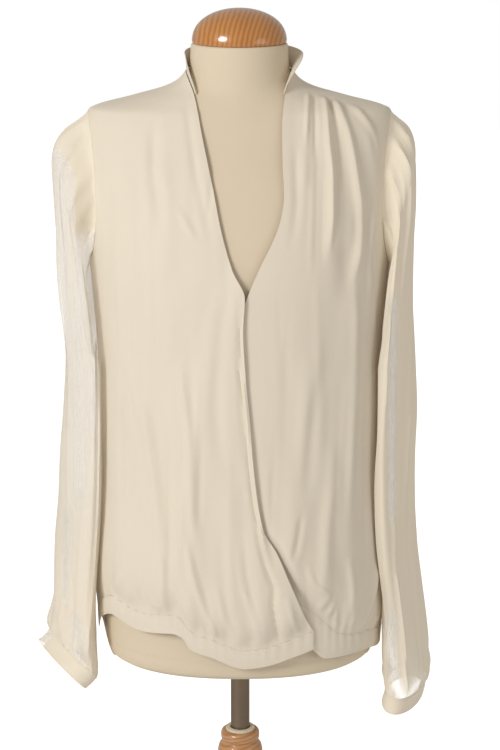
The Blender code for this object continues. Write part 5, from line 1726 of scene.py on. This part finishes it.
class FrontsOperator(bpy.types.Operator):
    """Cut and drape both fronts and their hem bands"""

    bl_idname = "blouse.fronts"
    bl_label = "Fronts and Bands"

    def execute(self, context):
        sizes = context.scene.blouse_sizes
        free_edge, side_edge = front_edges(lap_edge_x, lap_seam_z, -1)
        lap, seam = cut_panel(
            side_edge, free_edge, lap_seam_z, OVER_COLUMNS, -1, lap_front_relief, sizes
        )
        lap_band = band_points(seam, lap_hem_z, -1, lap_lift, sizes.gather_pitch)
        free_edge, side_edge = front_edges(under_edge_x, under_seam_z, 1)
        under, seam = cut_panel(
            free_edge, side_edge, under_seam_z, UNDER_COLUMNS, -1, under_front_relief, sizes
        )
        under_band = band_points(seam, under_hem_z, -1, no_lift, sizes.gather_pitch)
        for side, front, band, cut, band_cut in (
            ("right", lap, lap_band, (0.40, 0.66), (0.30, 0.024)),
            ("left", under, under_band, (0.36, 0.64), (0.265, 0.035)),
        ):
            body_panel(f"front_{side}", side, front, band)
        return {"FINISHED"}


class BackOperator(bpy.types.Operator):
    """Cut and drape the back and its hem band"""

    bl_idname = "blouse.back"
    bl_label = "Back and Band"

    def execute(self, context):
        sizes = context.scene.blouse_sizes
        back, seam = cut_panel(
            back_edge(1),
            back_edge(-1),
            back_seam_z,
            BACK_COLUMNS,
            1,
            back_relief,
            sizes,
            back_spread,
        )
        band = band_points(seam, back_hem_z, 1, no_lift, sizes.gather_pitch)
        body_panel("back", "back", back, band)
        return {"FINISHED"}


class SleevesOperator(bpy.types.Operator):
    """Set in the sheer sleeves and their cuffs"""

    bl_idname = "blouse.sleeves"
    bl_label = "Sleeves and Cuffs"

    def execute(self, context):
        sizes = context.scene.blouse_sizes
        left = (HEAD_RINGS_LEFT, LENGTH_RINGS_LEFT, SLEEVE_CREASES_LEFT)
        right = (HEAD_RINGS_RIGHT, LENGTH_RINGS_RIGHT, SLEEVE_CREASES_RIGHT)
        for side, side_sign, (head_rings, length_rings, creases), strips, density in (
            ("left", 1, left, CLEAR_STRIPS_LEFT, DENSITY_LEFT),
            ("right", -1, right, CLEAR_STRIPS_RIGHT, DENSITY_RIGHT),
        ):
            grid = sleeve_points(side_sign, head_rings, length_rings, creases, sizes)
            clear = clearness(grid, strips, density)
            sleeve = sheer_object(f"sleeve_{side}", grid, sizes.sleeve_thickness, clear)
            grid = cuff_points(side_sign, length_rings)
            clear = np.where(grid[..., 1] > SLEEVE_Y, CUFF_CLEAR_BEHIND, COVERED)
            cuff = sheer_object(f"cuff_{side}", grid, sizes.cuff_thickness, clear)
            lines = [(raised(grid, True, row, STITCH_RISE), True) for row in STITCH_ROWS]
            stitches = stitches_object(f"cuff_stitches_{side}", lines, material("crepe"))
            finished(stitches, "bust", "ivory_crepe")
        return {"FINISHED"}


def sheer_object(name, grid, thickness, clear):
    """A tube of sheer cloth, clear where it hangs as a single layer."""
    outer, inner = material("chiffon"), material("chiffon inside")
    tube = cloth_object(
        f"{name}_cloth", grid, thickness, outer, closed=True, sheer=clear, inside=inner
    )
    return finished(tube, "bust", "ivory_chiffon", name)


def clearness(grid, strips, density):
    """How far each point of a sleeve hangs as a single layer: 1 where it does, 0 where folds double
    it, and below 0 where they lie closer, as at the shoulder, which the body's own crepe covers."""
    x, y, z = np.abs(grid[..., 0]), grid[..., 1], grid[..., 2]
    clear = table_curve(density)(z)
    for path, half_width in strips:
        offset = (x - table_curve(path)(z)) / half_width
        top, bottom = path[0][0], path[-1][0]
        ends = smooth_step((top - z) / 0.03 + 0.5) * smooth_step((z - bottom) / 0.03 + 0.5)
        clear = clear + (1 - clear) * ends * np.exp(-(offset**2))
    behind = smooth_step((y - SLEEVE_Y) / 0.05)
    clear = clear * (1 - behind) + (0.5 + 0.5 * table_curve(density)(z)) * behind
    cap = smooth_step((table_curve(CAP_EDGE)(z) - x) / 0.002 + 0.5)
    cap = cap * smooth_step((z - CAP_LOW_Z) / 0.035)
    return clear * (1 - cap) + COVERED * cap


class CollarOperator(bpy.types.Operator):
    """Stand the collar round the neck"""

    bl_idname = "blouse.collar"
    bl_label = "Stand Collar"

    def execute(self, context):
        sizes = context.scene.blouse_sizes
        grid = collar_points()
        collar = cloth_object("stand_collar_cloth", grid, sizes.cloth_thickness, material("crepe"))
        finished(collar, "bust", "ivory_crepe", "stand_collar")
        return {"FINISHED"}


class BustOperator(bpy.types.Operator):
    """Model the jersey-covered bust"""

    bl_idname = "blouse.bust"
    bl_label = "Dress Form Bust"

    def execute(self, context):
        turn = turns_round(TURNED_SIDES * 2)[None, :]
        low = BUST_LEVELS[0][0]
        rounding = low + 0.02 * np.linspace(0, 1, 16) ** 2
        body = np.linspace(low + 0.02, NECK_TOP_Z - 0.004, 190)
        heights = np.unique(np.concatenate([rounding, body]))[:, None]
        rings = BUST.at_angle(turn, heights)
        off_seam = (heights - low - FORM_SEAM_RISE) / FORM_SEAM_WIDTH
        seam = -FORM_SEAM_DEPTH * np.exp(-(off_seam**2)) + 0 * turn
        rings = rings + grid_normals(rings, True) * seam[..., None]
        neck = rings[-1]
        rims = [
            neck * np.array([share, share, 1]) + np.array([0, 0, rise])
            for share, rise in (
                (0.996, 0.0016),
                (0.985, 0.003),
                (0.965, 0.0038),
                (0.94, 0.004),
                (0.5, 0.004),
            )
        ]
        bore = POLE_RADIUS + RUNNING_GAP
        hole = np.stack([bore * np.sin(turn[0]), -bore * np.cos(turn[0]), 0 * turn[0]], axis=1)
        floor_points = [
            hole + np.array([0, 0, z])
            for z in (SOCKET_TOP_Z, BUST_BOTTOM_Z + 0.002, BUST_BOTTOM_Z)
        ]
        bottom = rings[0] * np.array([0.97, 0.97, 1.0])
        grid = np.array([*floor_points, bottom, *rings, *rims])
        faces = grid_faces(*grid.shape[:2], True).tolist()
        sides = grid.shape[1]
        faces.append(list(range(sides))[::-1])
        faces.append([(len(grid) - 1) * sides + i for i in range(sides)])
        mesh = bpy.data.meshes.new("dress_form_bust_jersey")
        mesh.from_pydata(at_pole(grid.reshape(-1, 3)).tolist(), [], faces)
        mesh.materials.append(material("jersey"))
        work = bmesh.new()
        work.from_mesh(mesh)
        bmesh.ops.recalc_face_normals(work, faces=work.faces[:])
        layer = work.loops.layers.uv.new("cloth_lengths")
        for face in work.faces:
            angles = [math.atan2(loop.vert.co.x, POLE_Y - loop.vert.co.y) for loop in face.loops]
            across = max(angles) - min(angles) > math.pi
            for loop, angle in zip(face.loops, angles):
                angle += 2 * math.pi if across and angle < 0 else 0.0
                loop[layer].uv = (BUST_GIRTH * angle / (2 * math.pi), loop.vert.co.z)
        work.to_mesh(mesh)
        work.free()
        mesh.shade_smooth()
        mesh.set_sharp_from_angle(angle=math.radians(50))
        obj = linked("dress_form_bust_jersey", mesh)
        finished(obj, "bust", "cream_jersey", "dress_form_bust")
        return {"FINISHED"}


class NeckCapOperator(bpy.types.Operator):
    """Turn the varnished cap on the neck"""

    bl_idname = "blouse.neck_cap"
    bl_label = "Neck Cap"

    def execute(self, context):
        radius, base = CAP_RADIUS, NECK_TOP_Z + REST_GAP
        height = CAP_TOP_Z - base
        dome = [
            (radius * math.sin(turn), base + height * math.cos(turn) ** 0.85)
            for turn in np.linspace(0, math.radians(82), 34)
        ]
        profile = [(0.0, base + height)] + dome[1:]
        profile += [
            (radius, base + 0.0035),
            (radius - 0.0003, base + 0.0012),
            (radius - 0.0014, base),
            (0.0, base),
        ]
        cap = turned_object("neck_cap_varnished", profile, material("varnished"))
        finished(cap, "bust", "varnished_wood", "neck_cap")
        return {"FINISHED"}


class StandOperator(bpy.types.Operator):
    """Make the steel pole, its guide bush, the turned column and the legs"""

    bl_idname = "blouse.stand"
    bl_label = "Pole and Stand"

    def execute(self, context):
        top = SOCKET_TOP_Z - REST_GAP
        profile = [
            (0.0, top),
            (POLE_RADIUS, top),
            (POLE_RADIUS, POLE_BOTTOM_Z),
            (0.0, POLE_BOTTOM_Z),
        ]
        pole = turned_object("pole_steel", softened_profile(profile, 0.0008), material("steel"))
        finished(pole, "post", "steel_tube", "pole")
        inner = POLE_RADIUS + RUNNING_GAP
        bush = [
            (inner, COLUMN_TOP_Z + 0.003),
            (0.0160, COLUMN_TOP_Z + 0.003),
            (0.0168, COLUMN_TOP_Z + 0.0024),
            (0.0170, COLUMN_TOP_Z + REST_GAP),
            (BUSH_RADIUS, COLUMN_TOP_Z + REST_GAP),
            (BUSH_RADIUS, COLUMN_TOP_Z - BUSH_DEPTH),
            (inner, COLUMN_TOP_Z - BUSH_DEPTH),
        ]
        bush = turned_object("guide_bush_plastic", bush, material("plastic"))
        finished(bush, "stand", "cream_plastic", "guide_bush")
        outer = [(radius, COLUMN_TOP_Z - drop) for radius, drop in COLUMN_TURNING]
        wide, narrow = BUSH_RADIUS + REST_GAP, POLE_RADIUS + 0.0015
        shoulder, bore_bottom = COLUMN_TOP_Z - BUSH_DEPTH - REST_GAP, POLE_BOTTOM_Z - 0.090
        outer = softened_profile([(wide, COLUMN_TOP_Z), *outer, (0.0, outer[-1][1])], 0.004)
        bore = [(0.0, bore_bottom), (narrow, bore_bottom), (narrow, shoulder), (wide, shoulder)]
        profile = [*bore, *outer]
        column = turned_object("column_turned", profile, material("turned"))
        finished(column, "stand", "turned_wood", "column")
        for name, degrees in (("leg_back", 90.0), ("leg_right", 210.0), ("leg_left", 330.0)):
            leg = leg_object(f"{name}_turned", math.radians(degrees))
            finished(leg, "stand", "turned_wood", name)
        return {"FINISHED"}


def leg_object(name, turn):
    """A curved leg with rounded edges, and the round foot that it stands on."""
    outwards = np.array([math.cos(turn), math.sin(turn), 0.0])
    sideways = np.array([-math.sin(turn), math.cos(turn), 0.0])
    place = np.linspace(0, len(LEG_STATIONS) - 1, 73)
    reach, height, half_width, half_height = station_columns(LEG_STATIONS, place)
    run, rise = np.gradient(reach), np.gradient(height)
    run[0], rise[0] = 1.0, 0.0
    length = np.hypot(run, rise)
    across = (-rise[:, None] * outwards + run[:, None] * np.array([0, 0, 1.0])) / length[:, None]
    angle = 2 * math.pi * (np.arange(32) + 0.5) / 32
    side = 0.97 * signed_power(np.cos(angle), 0.75)
    up = 0.97 * signed_power(np.sin(angle), 0.75)
    centre = reach[:, None] * outwards + height[:, None] * np.array([0, 0, 1.0])
    grid = centre[:, None, :] + (half_width[:, None] * side)[..., None] * sideways
    grid = grid + (half_height[:, None] * up)[..., None] * across[:, None, :]
    grid = np.maximum(grid, np.array([-9.0, -9.0, 0.004]))
    foot_reach = FOOT_REACH - FOOT_RADIUS
    foot_centre = np.array([foot_reach * math.cos(turn), foot_reach * math.sin(turn), 0.0])
    around = turns_round(48)
    ring = np.stack([np.cos(around), np.sin(around), 0 * around], axis=1)
    foot = np.array(
        [
            foot_centre + ring * (share * FOOT_RADIUS) + np.array([0, 0, z])
            for share, z in FOOT_TURNING
        ]
    )
    work = bmesh.new()
    for shape in (grid, foot):
        loops = [[work.verts.new(tuple(at_pole(point))) for point in row] for row in shape]
        for lower, higher in zip(loops, loops[1:]):
            for i in range(len(lower)):
                after = (i + 1) % len(lower)
                work.faces.new((lower[i], lower[after], higher[after], higher[i]))
        work.faces.new(loops[0][::-1])
        work.faces.new(loops[-1])
    bmesh.ops.recalc_face_normals(work, faces=work.faces[:])
    mesh = bpy.data.meshes.new(name)
    work.to_mesh(mesh)
    work.free()
    mesh.materials.append(material("turned"))
    mesh.shade_smooth()
    mesh.set_sharp_from_angle(angle=math.radians(45))
    return linked(name, mesh)


# Studio

CAMERA_PLACE = (0.0115, -2.4 + POLE_Y, 1.6535)
CAMERA_PITCH = 14.6
CAMERA_LENS, CAMERA_SENSOR = 105.84, 24.0
FLOOR_RADIUS = 9.0


class StageOperator(bpy.types.Operator):
    """Lay a plain pale floor, light it softly and place the camera"""

    bl_idname = "blouse.stage"
    bl_label = "Studio"

    def execute(self, context):
        studio = context.scene.blouse_studio
        camera = bpy.data.cameras.new("camera")
        camera.lens = CAMERA_LENS
        camera.sensor_width = CAMERA_SENSOR
        camera.sensor_fit = "HORIZONTAL"
        view = linked("camera", camera)
        view.location = CAMERA_PLACE
        view.rotation_euler = (math.radians(90 - CAMERA_PITCH), 0, 0)
        context.scene.camera = view

        for name, place, size, power in (
            ("key_lamp", (-1.9, -2.2, 2.3), 1.1, studio.key_power),
            ("fill_lamp", (2.2, -1.7, 1.4), 1.6, studio.fill_power),
        ):
            lamp = bpy.data.lights.new(name, "AREA")
            lamp.shape = "DISK"
            lamp.size = size
            lamp.energy = power
            obj = linked(name, lamp)
            obj.location = place
            aim = np.array([0.0, POLE_Y, 1.05]) - np.array(place)
            obj.rotation_euler = (
                math.atan2(math.hypot(aim[0], aim[1]), -aim[2]),
                0,
                math.atan2(aim[1], aim[0]) - math.pi / 2,
            )

        world = bpy.data.worlds.new("studio")
        context.scene.world = world
        world.use_nodes = True
        tree = world.node_tree
        tree.nodes.clear()
        seen, light, paths, blend, out = (
            tree.nodes.new(kind)
            for kind in (
                "ShaderNodeBackground",
                "ShaderNodeBackground",
                "ShaderNodeLightPath",
                "ShaderNodeMixShader",
                "ShaderNodeOutputWorld",
            )
        )
        seen.inputs["Strength"].default_value = 1.0
        seen.inputs["Color"].default_value = (1, 1, 1, 1)
        light.inputs["Color"].default_value = (1.0, 0.95, 0.87, 1)
        light.inputs["Strength"].default_value = studio.room_light
        tree.links.new(paths.outputs["Is Camera Ray"], blend.inputs[0])
        tree.links.new(light.outputs[0], blend.inputs[1])
        tree.links.new(seen.outputs[0], blend.inputs[2])
        tree.links.new(blend.outputs[0], out.inputs[0])

        bpy.ops.mesh.primitive_circle_add(
            vertices=128, radius=FLOOR_RADIUS, fill_type="NGON", location=(0, 0, 0)
        )
        floor = context.object
        floor.name = "studio_floor"
        made, tree, shader = new_material("pale floor")
        place = node(tree, "ShaderNodeTexCoord").outputs["Object"]
        patches = noise(tree, place, 3.0, 3.0)
        shade = mix_colour(tree, patches, (0.93, 0.93, 0.93, 1), (0.90, 0.90, 0.90, 1))
        tree.links.new(shade, shader.inputs["Base Color"])
        set_sockets(shader, Roughness=0.8, Emission_Color=(1, 1, 1, 1))
        rays = node(tree, "ShaderNodeLightPath").outputs["Is Camera Ray"]
        glow = math_node(tree, "MULTIPLY_ADD", rays, studio.floor_glow, 0.02)
        tree.links.new(glow, shader.inputs["Emission Strength"])
        floor.data.materials.append(made)
        context.scene.view_settings.view_transform = "Standard"
        return {"FINISHED"}


class BlousePanel(bpy.types.Panel):
    """Sizes, looks and the steps of the build"""

    bl_idname = "VIEW3D_PT_surplice_blouse"
    bl_label = "Surplice Blouse"
    bl_space_type = "VIEW_3D"
    bl_region_type = "UI"
    bl_category = "Blouse"

    def draw(self, context):
        for step in STEPS:
            self.layout.operator(step.bl_idname)
        scene = context.scene
        for group in (scene.blouse_sizes, scene.blouse_looks, scene.blouse_studio):
            for name in group.__annotations__:
                self.layout.prop(group, name)


STEPS = (
    BustOperator,
    NeckCapOperator,
    StandOperator,
    FrontsOperator,
    BackOperator,
    SleevesOperator,
    CollarOperator,
    StageOperator,
)
CLASSES = (BlouseSizes, BlouseLooks, StudioLooks, *STEPS, BlousePanel)


def register():
    for each in CLASSES:
        bpy.utils.register_class(each)
    bpy.types.Scene.blouse_sizes = bpy.props.PointerProperty(type=BlouseSizes)
    bpy.types.Scene.blouse_looks = bpy.props.PointerProperty(type=BlouseLooks)
    bpy.types.Scene.blouse_studio = bpy.props.PointerProperty(type=StudioLooks)


def unregister():
    del bpy.types.Scene.blouse_sizes
    del bpy.types.Scene.blouse_looks
    del bpy.types.Scene.blouse_studio
    for each in reversed(CLASSES):
        bpy.utils.unregister_class(each)


def main():
    register()
    for step in (
        bpy.ops.blouse.bust,
        bpy.ops.blouse.neck_cap,
        bpy.ops.blouse.stand,
        bpy.ops.blouse.fronts,
        bpy.ops.blouse.back,
        bpy.ops.blouse.sleeves,
        bpy.ops.blouse.collar,
        bpy.ops.blouse.stage,
    ):
        step()


if __name__ == "__main__":
    main()
